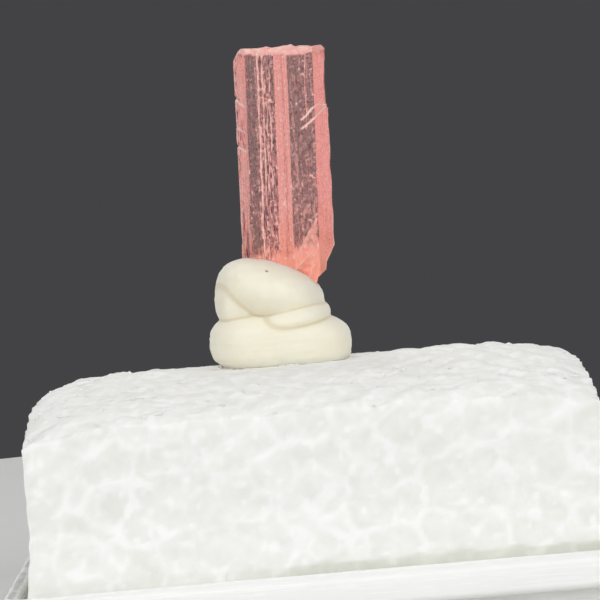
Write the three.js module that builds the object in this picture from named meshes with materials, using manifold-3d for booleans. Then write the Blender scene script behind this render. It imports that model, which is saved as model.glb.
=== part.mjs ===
// A vayrynenite crystal held upright in mounting putty, on a foam block in a small box base.
// Millimetres, +Z up, +X to the right and -Y to the front.
// The origin is the middle of the underside of the box base.
import * as THREE from 'three';
import { mergeVertices } from 'three/addons/utils/BufferGeometryUtils.js';
import Module from 'manifold-3d';

const wasm = await Module();
wasm.setup();

// Box base: a square tray whose rounded lip overhangs its foot
const BOX_HALF = 16;
const BOX_HEIGHT = 2.6;
const CORNER_CENTRE = 14.6;
const CORNER_STEPS = 6;
const FOOT_HALF = 14.9;
const FOOT_HEIGHT = 0.75;
const TRAY_INNER_HALF = 15.1;
const TRAY_FLOOR = 1.2;
const LIP_LOWER_ROUND = 0.4;
const LIP_OUTER_ROUND = 0.5;
const LIP_INNER_ROUND = 0.4;
const LIP_ARC_STEPS = 2;

// Foam block: a hand-cut block, flat under the putty and lower towards its edges
const FOAM_CREST = 12;
const FOAM_TOP_HALF = 14.3;
const FOAM_FOOT_HALF = 14.8;
const FOAM_TAPER_TOP = 0.5; // share of the height above which the sides stand upright
const FOAM_CELLS_ACROSS = 20;
const FOAM_CELLS_UP = 6;
const FOAM_LUMP = 0.12;
const FOAM_LUMP_PITCH = 3.4;
const FOAM_LUMP_WANDER = 0.65; // radians per millimetre, so that the lumps stand in no rows
const FOAM_EDGE_WEAR = 0.25;
const LUMPS_START = 4.6; // no lumps nearer to the putty's middle than this
const LUMPS_FULL = 7;
const FLAT_FRONT = -2.5;
const FLAT_BACK = 3;
const FRONT_DROP = 1.28;
const BACK_DROP = 1.35;
const RIGHT_DROP = 0.75;
const RIGHT_DROP_START = 7.3;
const LEFT_DROP = 0.2;
const LEFT_DROP_START = -11.1;

// Putty: kneaded lobes pressed together, each an ellipsoid tilted in the front view
const PUTTY_MIDDLE = new THREE.Vector3(-1.1, 0.5, 14.6);
const PUTTY_CELLS = [56, 34];
const PUTTY_REACH = 6;
const PUTTY_SEARCH_STEPS = 60;
const PUTTY_HALVINGS = 12;
const PUTTY_LOBES = [
  { centre: [-1.22, 0.5, 13.15], half: [3.73, 3.05, 1.55], tilt: 0, squareness: 4 },
  { centre: [-0.4, 0.35, 14.4], half: [2.35, 2.6, 1.08], tilt: -6, squareness: 2.2 },
  { centre: [-3.3, 0.5, 15.55], half: [1.16, 2, 1.3], tilt: 0, squareness: 3 },
  { centre: [-1.5, 0, 15.95], half: [2.88, 2.5, 1.62], tilt: 21, squareness: 2 },
  { centre: [-0.9, 2.4, 16.5], half: [2.1, 1.3, 1.5], tilt: 8, squareness: 2 },
];
const LOBE_BLEND = 16; // a higher value makes the folds between the lobes sharper

// Crystal: a flattened prism, given along its own axis before it leans to the right
const CRYSTAL_FOOT = new THREE.Vector3(-0.45, 0.85, 15.2);
const CRYSTAL_LENGTH = 13.5;
const CRYSTAL_SPARE = 1; // length above the rough end, cut away
const CRYSTAL_LEAN = THREE.MathUtils.degToRad(2);
const PUTTY_CLEARANCE = 0.04;

// Edges between the prism's faces, seen from above: [across, depth], counter-clockwise from the left
const PRISM_EDGES = [
  [-2.44, -0.35],
  [-1.8, -1.24],
  [-0.33, -1.32],
  [-0.03, -1.48],
  [0.23, -1.5],
  [0.47, -1.31],
  [1.76, -1.22],
  [2.46, -0.4],
  [2.47, 0.45],
  [1.75, 1.3],
  [-1.72, 1.28],
  [-2.43, 0.4],
];
const FRONT_DEPTH = -1.28;
const FACE_DRIFT = 0.18; // the front edges lie this much further left at the foot

// Growth grooves along the front faces: where, how wide, and between which heights
const GROOVES = [
  { across: -1.15, width: 0.11, from: 1, to: 14 },
  { across: -0.92, width: 0.1, from: 4.6, to: 14 },
  { across: -0.74, width: 0.07, from: 3.2, to: 11.8 },
  { across: -0.56, width: 0.08, from: 5.5, to: 12.6 },
  { across: 0.72, width: 0.07, from: 6.8, to: 13 },
  { across: 1.3, width: 0.1, from: 8.6, to: 14 },
];

// Cracks that open at a side edge: start and end as [across, height], and the gap at the start
const CRACKS = [
  { start: [2.65, 10.55], end: [1.0, 9.66], gap: 0.3 },
  { start: [2.65, 10.42], end: [1.02, 9.2], gap: 0.16 },
  { start: [-2.7, 11.18], end: [-1.9, 10.4], gap: 0.36 },
  { start: [-2.7, 9.58], end: [-2, 9.1], gap: 0.2 },
  { start: [-2.7, 8.6], end: [-2.02, 8.1], gap: 0.26 },
];
const CRACK_REACH = 1.3;
const CRACK_LEAD = 0.5; // how far the cut starts in front of the face

// Broken lower right corner in the front view, from the right edge down to the foot
const FOOT_BREAK = [
  [2.7, 3.4],
  [2.42, 2.95],
  [2.2, 2.5],
  [1.97, 2.08],
  [1.92, 1.68],
  [1.47, 1.3],
  [1.36, 0.9],
  [0.9, 0.45],
  [0.3, -0.2],
  [2.7, -0.2],
];

// Shell-shaped chips in the lower right of the front, each a flat cone that hangs from its tip
const CHIPS = [
  { tip: [1.62, -1.24, 4.65], length: 3.4, half: [0.72, 0.34], tilt: 14, pitch: 4 },
  { tip: [1.68, -1.22, 4.2], length: 2.2, half: [0.3, 0.3], tilt: -3, pitch: 6 },
  { tip: [0.9, -1.3, 2.75], length: 2.2, half: [0.75, 0.42], tilt: 30, pitch: 6 },
];
const CHIP_SIDES = 14;

// Rough end: chipped edges, shallow mounds and one small peak on a level top
const END_BEVEL = 0.42;
const END_BEVEL_DROP = 0.34;
const END_MOUND = 0.07;
const END_MOUND_WAVES = [3.1, 2.7]; // radians per millimetre, across and in depth
const END_PEAK = 0.16;
const END_PEAK_AT = [0.62, -0.5];
const END_PEAK_REACH = 0.6;
const END_HALF = [2.5, 1.42];
const END_BLOCK = [6, 4, 3];
const END_CELLS = [22, 12];

// Sizes that only serve the cuts
const THROUGH = 3; // more than half the crystal's depth
const OVERSIZE = 20; // more than the putty's size
const ON_EDGE = 0.999; // share of the half width or height from which a point counts as on the edge
const SAME_POINT = 0.01;
const WELD = 1e-5;

const material = {
  crystal: new THREE.MeshStandardMaterial({ color: '#e0877f', roughness: 0.15, metalness: 0 }),
  putty: new THREE.MeshStandardMaterial({ color: '#ebe6d4', roughness: 0.7, metalness: 0 }),
  foam: new THREE.MeshStandardMaterial({ color: '#eceded', roughness: 0.9, metalness: 0 }),
  boxPlastic: new THREE.MeshStandardMaterial({ color: '#f2f3f2', roughness: 0.25, metalness: 0 }),
};

/** Makes a closed geometry with shared vertices from any closed one. */
function welded(geometry) {
  geometry.deleteAttribute('normal');
  geometry.deleteAttribute('uv');
  return mergeVertices(geometry, WELD);
}

/** Turns a closed geometry into a solid for joins and cuts. */
function toSolid(geometry) {
  const closed = welded(geometry);
  return new wasm.Manifold(new wasm.Mesh({
    numProp: 3,
    vertProperties: new Float32Array(closed.attributes.position.array),
    triVerts: new Uint32Array(closed.index.array),
  }));
}

/** Turns a solid back into a geometry. */
function toGeometry(solid) {
  const mesh = solid.getMesh();
  const geometry = new THREE.BufferGeometry();
  geometry.setAttribute('position', new THREE.BufferAttribute(mesh.vertProperties, 3));
  geometry.setIndex(new THREE.BufferAttribute(mesh.triVerts, 1));
  return geometry;
}

/** Names a mesh and gives it its geometry and material. */
function namedMesh(name, geometry, finish) {
  geometry.computeVertexNormals();
  const mesh = new THREE.Mesh(geometry, finish);
  mesh.name = name;
  return mesh;
}

/** Skins a stack of rings with the same number of points, and closes both ends. */
function loft(rings) {
  const count = rings[0].length;
  const indices = [];
  for (let ring = 0; ring < rings.length - 1; ring += 1) {
    for (let i = 0; i < count; i += 1) {
      const here = ring * count + i;
      const next = ring * count + (i + 1) % count;
      indices.push(here, next, next + count);
      indices.push(here, next + count, here + count);
    }
  }
  const lastRing = (rings.length - 1) * count;
  for (const [a, b, c] of capTriangles(rings[0])) {
    indices.push(c, b, a);
  }
  for (const [a, b, c] of capTriangles(rings.at(-1))) {
    indices.push(lastRing + a, lastRing + b, lastRing + c);
  }
  const geometry = new THREE.BufferGeometry();
  geometry.setAttribute('position', new THREE.Float32BufferAttribute(rings.flat(2), 3));
  geometry.setIndex(indices);
  return geometry;
}

/** Divides a level ring into triangles. */
function capTriangles(ring) {
  const outline = ring.map(([x, y]) => new THREE.Vector2(x, y));
  return THREE.ShapeUtils.triangulateShape(outline, []);
}

/** Gives a square ring with rounded corners at one height. */
function roundedSquare(half, z) {
  const radius = half - CORNER_CENTRE;
  const ring = [];
  for (let corner = 0; corner < 4; corner += 1) {
    const turn = corner * Math.PI / 2;
    const centre = new THREE.Vector2(CORNER_CENTRE, CORNER_CENTRE);
    centre.rotateAround(new THREE.Vector2(), turn);
    for (let step = 0; step <= CORNER_STEPS; step += 1) {
      const angle = turn + step / CORNER_STEPS * Math.PI / 2;
      ring.push([centre.x + radius * Math.cos(angle), centre.y + radius * Math.sin(angle), z]);
    }
  }
  return ring;
}

/** The tray's section: up the foot, round the lip and down to the floor inside. */
function traySection() {
  const lower = BOX_HALF - LIP_LOWER_ROUND;
  const outer = BOX_HALF - LIP_OUTER_ROUND;
  const inner = TRAY_INNER_HALF + LIP_INNER_ROUND;
  const section = new THREE.Path();
  section.moveTo(FOOT_HALF, 0);
  section.lineTo(FOOT_HALF, FOOT_HEIGHT);
  section.absarc(lower, FOOT_HEIGHT + LIP_LOWER_ROUND, LIP_LOWER_ROUND, -Math.PI / 2, 0);
  section.absarc(outer, BOX_HEIGHT - LIP_OUTER_ROUND, LIP_OUTER_ROUND, 0, Math.PI / 2);
  section.absarc(inner, BOX_HEIGHT - LIP_INNER_ROUND, LIP_INNER_ROUND, Math.PI / 2, Math.PI);
  section.lineTo(TRAY_INNER_HALF, TRAY_FLOOR);
  const points = section.getPoints(LIP_ARC_STEPS);
  return points.filter((point, i) => i === 0 || point.distanceTo(points[i - 1]) > SAME_POINT);
}

/** The box base, a shallow moulded tray. */
function boxBase() {
  const rings = traySection().map((point) => roundedSquare(point.x, point.y));
  return namedMesh('box_base', loft(rings), material.boxPlastic);
}

/** Soft lumps on the foam, between -1 and 1. */
function lump(x, y, z) {
  const turn = 2 * Math.PI / FOAM_LUMP_PITCH;
  const acrossPhase = turn * x + 2 * Math.sin(FOAM_LUMP_WANDER * (y + z));
  const alongPhase = turn * (y + z) + 2 * Math.sin(FOAM_LUMP_WANDER * x);
  return Math.sin(acrossPhase) * Math.cos(alongPhase);
}

/** Squared share of the way from a start to an end, 0 before the start. */
function easeFrom(value, start, end) {
  const share = Math.max(0, (value - start) / (end - start));
  return share * share;
}

/** Height of the foam's top. */
function foamTop(x, y) {
  const front = FRONT_DROP * easeFrom(y, FLAT_FRONT, -FOAM_TOP_HALF);
  const back = BACK_DROP * Math.max(0, (y - FLAT_BACK) / (FOAM_TOP_HALF - FLAT_BACK));
  const right = RIGHT_DROP * easeFrom(x, RIGHT_DROP_START, FOAM_TOP_HALF);
  const left = LEFT_DROP * easeFrom(x, LEFT_DROP_START, -FOAM_TOP_HALF);
  const away = Math.max(Math.abs(x - PUTTY_MIDDLE.x), Math.abs(y - PUTTY_MIDDLE.y));
  const lumpShare = THREE.MathUtils.smoothstep(away, LUMPS_START, LUMPS_FULL);
  return FOAM_CREST - front - back - right - left + FOAM_LUMP * lumpShare * lump(x, y, 0);
}

/** The foam block, wedged in the tray. */
function foamBlock() {
  const across = FOAM_CELLS_ACROSS;
  const geometry = new THREE.BoxGeometry(2, 2, 1, across, across, FOAM_CELLS_UP);
  const position = geometry.attributes.position;
  for (let i = 0; i < position.count; i += 1) {
    const u = position.getX(i);
    const v = position.getY(i);
    const up = position.getZ(i) + 0.5;
    const half = THREE.MathUtils.lerp(FOAM_FOOT_HALF, FOAM_TOP_HALF, Math.min(1, up / FOAM_TAPER_TOP));
    const atSide = Math.max(Math.abs(u), Math.abs(v)) > ON_EDGE;
    const bulge = atSide && up > 0 ? FOAM_LUMP * lump(u * half, v * half, up * FOAM_CREST) : 0;
    const x = u * (half + bulge);
    const y = v * (half + bulge);
    const wear = atSide && up > ON_EDGE ? FOAM_EDGE_WEAR : 0;
    const z = TRAY_FLOOR + up * (foamTop(x, y) - TRAY_FLOOR) - wear;
    position.setXYZ(i, x, y, z);
  }
  return namedMesh('foam_block', welded(geometry), material.foam);
}

/** How far out in a lobe of the putty a point lies: 0 at its centre and 1 at its skin. */
function lobeShare(point, lobe) {
  const local = point.clone().sub(new THREE.Vector3(...lobe.centre));
  local.applyAxisAngle(new THREE.Vector3(0, 1, 0), -THREE.MathUtils.degToRad(lobe.tilt));
  const [a, b, c] = lobe.half;
  const power = lobe.squareness;
  const reach = Math.abs(local.x / a) ** power + Math.abs(local.y / b) ** power
    + Math.abs(local.z / c) ** power;
  return reach ** (1 / power);
}

/** Distance from the putty's middle to its skin along a direction. */
function puttyReach(direction) {
  const inPutty = (distance) => {
    const point = PUTTY_MIDDLE.clone().addScaledVector(direction, distance);
    const nearness = PUTTY_LOBES.map((lobe) => Math.exp(LOBE_BLEND * (1 - lobeShare(point, lobe))));
    return nearness.reduce((total, one) => total + one) > 1;
  };
  const step = PUTTY_REACH / PUTTY_SEARCH_STEPS;
  let outside = PUTTY_REACH;
  while (!inPutty(outside - step)) {
    outside -= step;
  }
  let inside = outside - step;
  for (let halving = 0; halving < PUTTY_HALVINGS; halving += 1) {
    const middle = (inside + outside) / 2;
    if (inPutty(middle)) {
      inside = middle;
    } else {
      outside = middle;
    }
  }
  return inside;
}

/** The putty: lobes pressed flat on the foam, with a pocket for the crystal. */
function mountingPutty() {
  const blob = new THREE.SphereGeometry(1, ...PUTTY_CELLS);
  blob.rotateX(Math.PI / 2);
  const position = blob.attributes.position;
  const direction = new THREE.Vector3();
  for (let i = 0; i < position.count; i += 1) {
    direction.fromBufferAttribute(position, i).normalize();
    direction.multiplyScalar(puttyReach(direction)).add(PUTTY_MIDDLE);
    position.setXYZ(i, direction.x, direction.y, direction.z);
  }
  const aboveFoam = new THREE.BoxGeometry(OVERSIZE, OVERSIZE, OVERSIZE);
  aboveFoam.translate(0, 0, FOAM_CREST + OVERSIZE / 2);
  const pocket = crystalCore(PUTTY_CLEARANCE);
  pocket.applyMatrix4(crystalPlace());
  const putty = toSolid(blob).intersect(toSolid(aboveFoam)).subtract(toSolid(pocket));
  return namedMesh('mounting_putty', toGeometry(putty), material.putty);
}

/** Where the crystal stands: its foot and its lean. */
function crystalPlace() {
  const lean = new THREE.Quaternion().setFromAxisAngle(new THREE.Vector3(0, 1, 0), CRYSTAL_LEAN);
  return new THREE.Matrix4().compose(CRYSTAL_FOOT, lean, new THREE.Vector3(1, 1, 1));
}

/** A front-view outline as a solid block that passes through the crystal. */
function frontBlock(points, nearDepth, farDepth) {
  const outline = new THREE.Shape(points.map(([across, height]) => new THREE.Vector2(across, height)));
  const block = new THREE.ExtrudeGeometry(outline, { depth: farDepth - nearDepth, bevelEnabled: false });
  block.rotateX(Math.PI / 2);
  block.translate(0, farDepth, 0);
  return block;
}

/** The prism with its broken foot, grown by a clearance when it cuts the putty's pocket. */
function crystalCore(grow) {
  const ringAt = (height, share) => PRISM_EDGES.map(([across, depth]) => {
    const drift = FACE_DRIFT * (1 - share) * depth / -FRONT_DEPTH;
    return [across + drift + grow * Math.sign(across), depth + grow * Math.sign(depth), height];
  });
  const prism = loft([ringAt(-grow, 0), ringAt(CRYSTAL_LENGTH + CRYSTAL_SPARE, 1)]);
  const foot = FOOT_BREAK.map(([across, height]) => [across + grow, height - grow]);
  return toGeometry(toSolid(prism).subtract(toSolid(frontBlock(foot, -THROUGH, THROUGH))));
}

/** Height of the crystal's rough upper end. */
function endHeight(across, depth) {
  const toEdge = Math.min(END_HALF[0] - Math.abs(across), END_HALF[1] - Math.abs(depth));
  const bevel = END_BEVEL_DROP * (1 - THREE.MathUtils.smoothstep(toEdge, 0, END_BEVEL));
  const mounds = END_MOUND * Math.sin(END_MOUND_WAVES[0] * across + 1)
    * Math.cos(END_MOUND_WAVES[1] * depth + across);
  const fromPeak = Math.hypot(across - END_PEAK_AT[0], depth - END_PEAK_AT[1]);
  const peak = END_PEAK * Math.max(0, 1 - fromPeak / END_PEAK_REACH);
  return CRYSTAL_LENGTH + mounds + peak - bevel;
}

/** Block that cuts the crystal's upper end to its rough surface. */
function endCutter() {
  const cutter = new THREE.BoxGeometry(...END_BLOCK, ...END_CELLS, 1);
  const position = cutter.attributes.position;
  for (let i = 0; i < position.count; i += 1) {
    const below = position.getZ(i) < 0;
    const z = below ? endHeight(position.getX(i), position.getY(i)) : CRYSTAL_LENGTH + END_BLOCK[2];
    position.setZ(i, z);
  }
  return cutter;
}

/** Triangular bar that cuts one growth groove. */
function grooveCutter({ across, width, from, to }) {
  const section = new THREE.Shape([
    new THREE.Vector2(across - width, FRONT_DEPTH - width),
    new THREE.Vector2(across + width, FRONT_DEPTH - width),
    new THREE.Vector2(across, FRONT_DEPTH + width),
  ]);
  const bar = new THREE.ExtrudeGeometry(section, { depth: to - from, bevelEnabled: false });
  bar.translate(0, 0, from);
  return bar;
}

/** Thin wedge that opens one crack from a side edge. */
function crackCutter({ start, end, gap }) {
  const wedge = [[start[0], start[1] + gap / 2], [start[0], start[1] - gap / 2], end];
  const counterClockwise = start[0] > 0 ? wedge.reverse() : wedge;
  return frontBlock(counterClockwise, FRONT_DEPTH - CRACK_LEAD, FRONT_DEPTH + CRACK_REACH);
}

/** Flat cone, tip up, that takes out one shell-shaped chip and goes deeper towards the foot. */
function chipCutter({ tip, length, half, tilt, pitch }) {
  const scoop = new THREE.ConeGeometry(1, length, CHIP_SIDES);
  scoop.translate(0, -length / 2, 0);
  scoop.rotateX(Math.PI / 2);
  scoop.scale(half[0], half[1], 1);
  scoop.rotateX(THREE.MathUtils.degToRad(-pitch));
  scoop.rotateY(THREE.MathUtils.degToRad(tilt));
  scoop.translate(...tip);
  return scoop;
}

/** The crystal, one solid with all its cuts. */
function crystal() {
  let solid = toSolid(crystalCore(0));
  const cutters = [
    endCutter(),
    ...GROOVES.map(grooveCutter),
    ...CRACKS.map(crackCutter),
    ...CHIPS.map(chipCutter),
  ];
  for (const cutter of cutters) {
    solid = solid.subtract(toSolid(cutter));
  }
  const mesh = namedMesh('crystal', toGeometry(solid), material.crystal);
  mesh.position.copy(CRYSTAL_FOOT);
  mesh.rotation.y = CRYSTAL_LEAN;
  return mesh;
}

const specimen = new THREE.Group();
specimen.add(boxBase(), foamBlock(), mountingPutty(), crystal());

export default specimen;
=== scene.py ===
"""A vayrynenite crystal in mounting putty, on a foam block in a small box base.

Shapes are worked out in millimetres and turned to metres as each piece is finished.
"""

import itertools
import logging
import math
from collections.abc import Iterable, Sequence
from dataclasses import dataclass, field
from enum import Enum
from typing import Any

import bmesh
import bpy
import numpy as np
from mathutils import Matrix, Vector


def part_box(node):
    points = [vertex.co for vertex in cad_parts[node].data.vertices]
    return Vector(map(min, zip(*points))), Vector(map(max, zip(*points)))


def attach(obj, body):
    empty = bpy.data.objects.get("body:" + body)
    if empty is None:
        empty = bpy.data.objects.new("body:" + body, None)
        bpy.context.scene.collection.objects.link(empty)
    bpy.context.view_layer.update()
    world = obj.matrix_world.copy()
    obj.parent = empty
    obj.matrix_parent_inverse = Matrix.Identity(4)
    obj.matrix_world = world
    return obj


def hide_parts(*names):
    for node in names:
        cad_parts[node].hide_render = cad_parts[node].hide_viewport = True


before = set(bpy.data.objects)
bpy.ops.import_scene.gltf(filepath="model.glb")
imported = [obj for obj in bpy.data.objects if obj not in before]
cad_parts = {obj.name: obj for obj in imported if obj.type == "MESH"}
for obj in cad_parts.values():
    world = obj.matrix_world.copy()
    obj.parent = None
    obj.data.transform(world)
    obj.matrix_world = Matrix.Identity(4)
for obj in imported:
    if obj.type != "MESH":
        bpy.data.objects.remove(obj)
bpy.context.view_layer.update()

LOG = logging.getLogger("specimen")
MM = 0.001
BODY = "root"
TABLE_SIZE = 64  # random values along each side of a noise table, after which it repeats

# Short names for the types that the hints use
Array = np.ndarray
Pair = tuple[float, float]
Triple = tuple[float, float, float]
Piece = bpy.types.Object
Tree = bpy.types.NodeTree
Socket = bpy.types.NodeSocket

# Sockets of the Mix node by number, because several of them share a name
MIX_SHARE = 0
MIX_VALUE_A = 2
MIX_VALUE_B = 3
MIX_COLOUR_A = 6
MIX_COLOUR_B = 7
MIXED_COLOUR = 2


def linear(hex_colour: str) -> tuple[float, float, float, float]:
    """Turns an sRGB colour to linear light.

    Args:
        hex_colour: the colour as #RRGGBB.

    Returns:
        Red, green, blue and an alpha of 1.
    """
    channels = [int(hex_colour[at:at + 2], 16) / 255 for at in (1, 3, 5)]
    return (*(c / 12.92 if c <= 0.04045 else ((c + 0.055) / 1.055) ** 2.4 for c in channels), 1.0)


def smoothstep(value: Array, start: float, end: float) -> Array:
    """Eases from 0 to 1.

    Args:
        value: where to look.
        start: the value at which the result leaves 0.
        end: the value at which the result reaches 1.

    Returns:
        The eased share, one for each value.
    """
    share = np.clip((value - start) / (end - start), 0, 1)
    return share * share * (3 - 2 * share)


def noise_table(seed: int, columns: int = 1) -> Array:
    """Gives the seeded random values, between -1 and 1, that the noises below read.

    Args:
        seed: which table.
        columns: values at each place of the lattice.

    Returns:
        A cube of values with that many columns.
    """
    shape = (TABLE_SIZE, TABLE_SIZE, TABLE_SIZE, columns)
    return np.random.default_rng(seed).uniform(-1, 1, shape)


def lattice_noise(points: Array, pitch: float | Sequence[float], seed: int) -> Array:
    """Smooth noise between -1 and 1.

    Args:
        points: where to look, in millimetres, one row for each point.
        pitch: distance between bumps in millimetres, one or one for each axis.
        seed: which noise.

    Returns:
        One value for each point.
    """
    table = noise_table(seed)
    scaled = points / np.asarray(pitch)
    home = np.floor(scaled).astype(int)
    share = smoothstep(scaled - home, 0, 1)
    total = np.zeros(len(points))
    for offset in itertools.product((0, 1), repeat=3):
        weight = np.prod(np.where(offset, share, 1 - share), axis=1)
        place = (home + offset) % TABLE_SIZE
        total += weight * table[place[:, 0], place[:, 1], place[:, 2], 0]
    return total


@dataclass(frozen=True)
class Noise:
    """Smooth noise of one size: its pitch in millimetres, its strength and which noise it is."""

    pitch: float | Triple
    strength: float
    seed: int

    def at(self, points: Array) -> Array:
        """The noise at each point, between minus and plus its strength."""
        return self.strength * lattice_noise(points, self.pitch, self.seed)


def cell_noise(points: Array, pitch: float, seed: int) -> tuple[Array, Array, Array]:
    """Cells around jittered middles, as beads pressed together make.

    Args:
        points: where to look, in millimetres, one row for each point.
        pitch: mean size of a cell in millimetres.
        seed: which cells.

    Returns:
        For each point, how much nearer it is to its own middle than to the next one and to
        the one after that, in millimetres, and its cell's own value between -1 and 1.
    """
    jitter = 0.42  # how far, as a share of the pitch, a cell's middle may lie from its place
    table = noise_table(seed, 4)
    scaled = points / pitch
    home = np.floor(scaled).astype(int)
    nearest = np.full(len(points), np.inf)
    second = np.full(len(points), np.inf)
    third = np.full(len(points), np.inf)
    own = np.zeros(len(points))
    for offset in itertools.product((-1, 0, 1), repeat=3):
        place = home + offset
        wrapped = place % TABLE_SIZE
        values = table[wrapped[:, 0], wrapped[:, 1], wrapped[:, 2]]
        distance = np.linalg.norm(scaled - place - 0.5 - jitter * values[:, :3], axis=1)
        own = np.where(distance < nearest, values[:, 3], own)
        nearest, further = np.minimum(nearest, distance), np.maximum(nearest, distance)
        second, further = np.minimum(second, further), np.maximum(second, further)
        third = np.minimum(third, further)
    return (second - nearest) * pitch, (third - nearest) * pitch, own


def box_shell(cells: tuple[int, int, int]) -> tuple[Array, Array]:
    """Unit box made of small cells.

    Args:
        cells: number of cells along each axis.

    Returns:
        Its points, between 0 and 1, and its quads, facing out.
    """
    quads = []
    for axis in range(3):
        across, up = (axis + 1) % 3, (axis + 2) % 3
        u, v = np.meshgrid(np.arange(cells[across]), np.arange(cells[up]), indexing="ij")
        for side in (0, cells[axis]):
            turn = ((0, 0), (1, 0), (1, 1), (0, 1)) if side else ((0, 0), (0, 1), (1, 1), (1, 0))
            quad = np.full((u.size, 4, 3), side)
            for corner, (du, dv) in enumerate(turn):
                quad[:, corner, across] = u.ravel() + du
                quad[:, corner, up] = v.ravel() + dv
            quads.append(quad)
    corners = np.concatenate(quads).reshape(-1, 3)
    lattice, index = np.unique(corners, axis=0, return_inverse=True)
    return lattice / np.array(cells), index.reshape(-1, 4)


def tube_faces(rings: int, count: int, closed_ends: bool = True) -> list[tuple[int, ...]]:
    """Faces of a stack of rings that all have the same number of points.

    Args:
        rings: number of rings.
        count: points in a ring, counter-clockwise seen from the last ring's side.
        closed_ends: whether the first and last rings are filled.

    Returns:
        The faces, facing out.
    """
    ring, at = np.meshgrid(np.arange(rings - 1), np.arange(count), indexing="ij")
    here = (ring * count + at).ravel()
    after = (ring * count + (at + 1) % count).ravel()
    faces = np.stack((here, after, after + count, here + count), axis=1).tolist()
    if closed_ends:
        faces.append(list(range(count))[::-1])
        faces.append(list(range((rings - 1) * count, rings * count)))
    return faces


def line_distance(points: Array, line: Sequence[Pair]) -> Array:
    """Works out how far flat points lie from a line of straight runs.

    Args:
        points: the flat points.
        line: the corners of the line.

    Returns:
        Each point's distance to the nearest run.
    """
    corners = np.array(line)
    best = np.full(len(points), np.inf)
    for start, end in itertools.pairwise(corners):
        run = end - start
        share = np.clip((points - start) @ run / (run @ run), 0, 1)
        best = np.minimum(best, np.linalg.norm(points - start - share[:, None] * run, axis=1))
    return best


def make_piece(name: str, points: Array, faces: Iterable[Sequence[int]]) -> Piece:
    """Makes an object, in millimetres until finish_shape turns it to metres.

    Args:
        name: the object's name.
        points: its points.
        faces: its faces, as point numbers.

    Returns:
        The object, in the scene.
    """
    mesh = bpy.data.meshes.new(name)
    mesh.from_pydata(points.tolist(), [], [tuple(face) for face in faces])
    piece = bpy.data.objects.new(name, mesh)
    bpy.context.scene.collection.objects.link(piece)
    return piece


def face_out(piece: Piece) -> None:
    """Turns every face of a closed piece outward.

    Args:
        piece: the piece.
    """
    work = bmesh.new()
    work.from_mesh(piece.data)
    bmesh.ops.recalc_face_normals(work, faces=work.faces)
    work.to_mesh(piece.data)
    work.free()


def cut(piece: Piece, cutter: Piece) -> None:
    """Takes the cutter's shape out of a piece, and deletes the cutter.

    Args:
        piece: the closed piece that is cut.
        cutter: the closed shape that is taken away.
    """
    face_out(cutter)
    change = piece.modifiers.new("cut", "BOOLEAN")
    change.operation = "DIFFERENCE"
    change.solver = "MANIFOLD"
    change.object = cutter
    shown = piece.evaluated_get(bpy.context.evaluated_depsgraph_get())
    result = bpy.data.meshes.new_from_object(shown)
    piece.modifiers.clear()
    piece.data = result
    bpy.data.objects.remove(cutter)


def points_of(piece: Piece) -> Array:
    """Reads a piece's points.

    Args:
        piece: the piece.

    Returns:
        Its points, one row for each.
    """
    flat = np.empty(len(piece.data.vertices) * 3)
    piece.data.vertices.foreach_get("co", flat)
    return flat.reshape(-1, 3)


def paint(piece: Piece, name: str, values: Array) -> None:
    """Keeps one value for each point under a name that the piece's material reads.

    Args:
        piece: the piece.
        name: the name.
        values: one value for each point.
    """
    layer = piece.data.attributes.new(name, "FLOAT", "POINT")
    layer.data.foreach_set("value", np.ascontiguousarray(values, dtype=np.float32))


def finish_shape(piece: Piece, sharp_over: float) -> None:
    """Turns a piece to metres and shades it smooth, except at its sharp edges.

    Args:
        piece: the piece, in millimetres.
        sharp_over: the angle between two faces, in degrees, from which their edge stays sharp.
    """
    mesh = piece.data
    mesh.transform(Matrix.Scale(MM, 4))
    mesh.polygons.foreach_set("use_smooth", np.ones(len(mesh.polygons), dtype=bool))
    mesh.set_sharp_from_angle(angle=math.radians(sharp_over))
    mesh.update()


def settle(piece: Piece, node: str, material: bpy.types.Material) -> None:
    """Gives a piece its material and its place in the frame, and reports it.

    Args:
        piece: the finished piece.
        node: the solid that it stands for.
        material: its finish.
    """
    piece.data.materials.clear()
    piece.data.materials.append(material)
    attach(piece, BODY)
    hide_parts(node)
    LOG.info("%s: %d faces, stands for %s", piece.name, len(piece.data.polygons), node)


def low_corner(node: str) -> Vector:
    """A solid's lowest corner in millimetres."""
    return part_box(node)[0] / MM


def high_corner(node: str) -> Vector:
    """A solid's highest corner in millimetres."""
    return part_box(node)[1] / MM


def add(tree: Tree, kind: str, inputs: dict[str | int, Any], **settings: Any) -> bpy.types.Node:
    """Adds a node with its settings, and sets or links its inputs.

    Args:
        tree: the tree that gets the node.
        kind: the node's type.
        inputs: a value or another node's output for each input, by name or number.
        **settings: the node's own settings.

    Returns:
        The node.
    """
    made = tree.nodes.new(kind)
    for name, value in settings.items():
        setattr(made, name, value)
    for name, value in inputs.items():
        if isinstance(value, Socket):
            tree.links.new(value, made.inputs[name])
        else:
            made.inputs[name].default_value = value
    return made


def new_material(name: str) -> tuple[bpy.types.Material, Tree, Socket]:
    """Starts a material.

    Args:
        name: the material's name.

    Returns:
        The material, its empty node tree, and the piece's coordinates in millimetres.
    """
    material = bpy.data.materials.new(name)
    material.use_nodes = True
    tree = material.node_tree
    tree.nodes.clear()
    place = add(tree, "ShaderNodeTexCoord", {})
    in_mm = add(tree, "ShaderNodeVectorMath", {
        0: place.outputs["Object"],
        "Scale": 1 / MM,
    }, operation="SCALE")
    return material, tree, in_mm.outputs[0]


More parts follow.
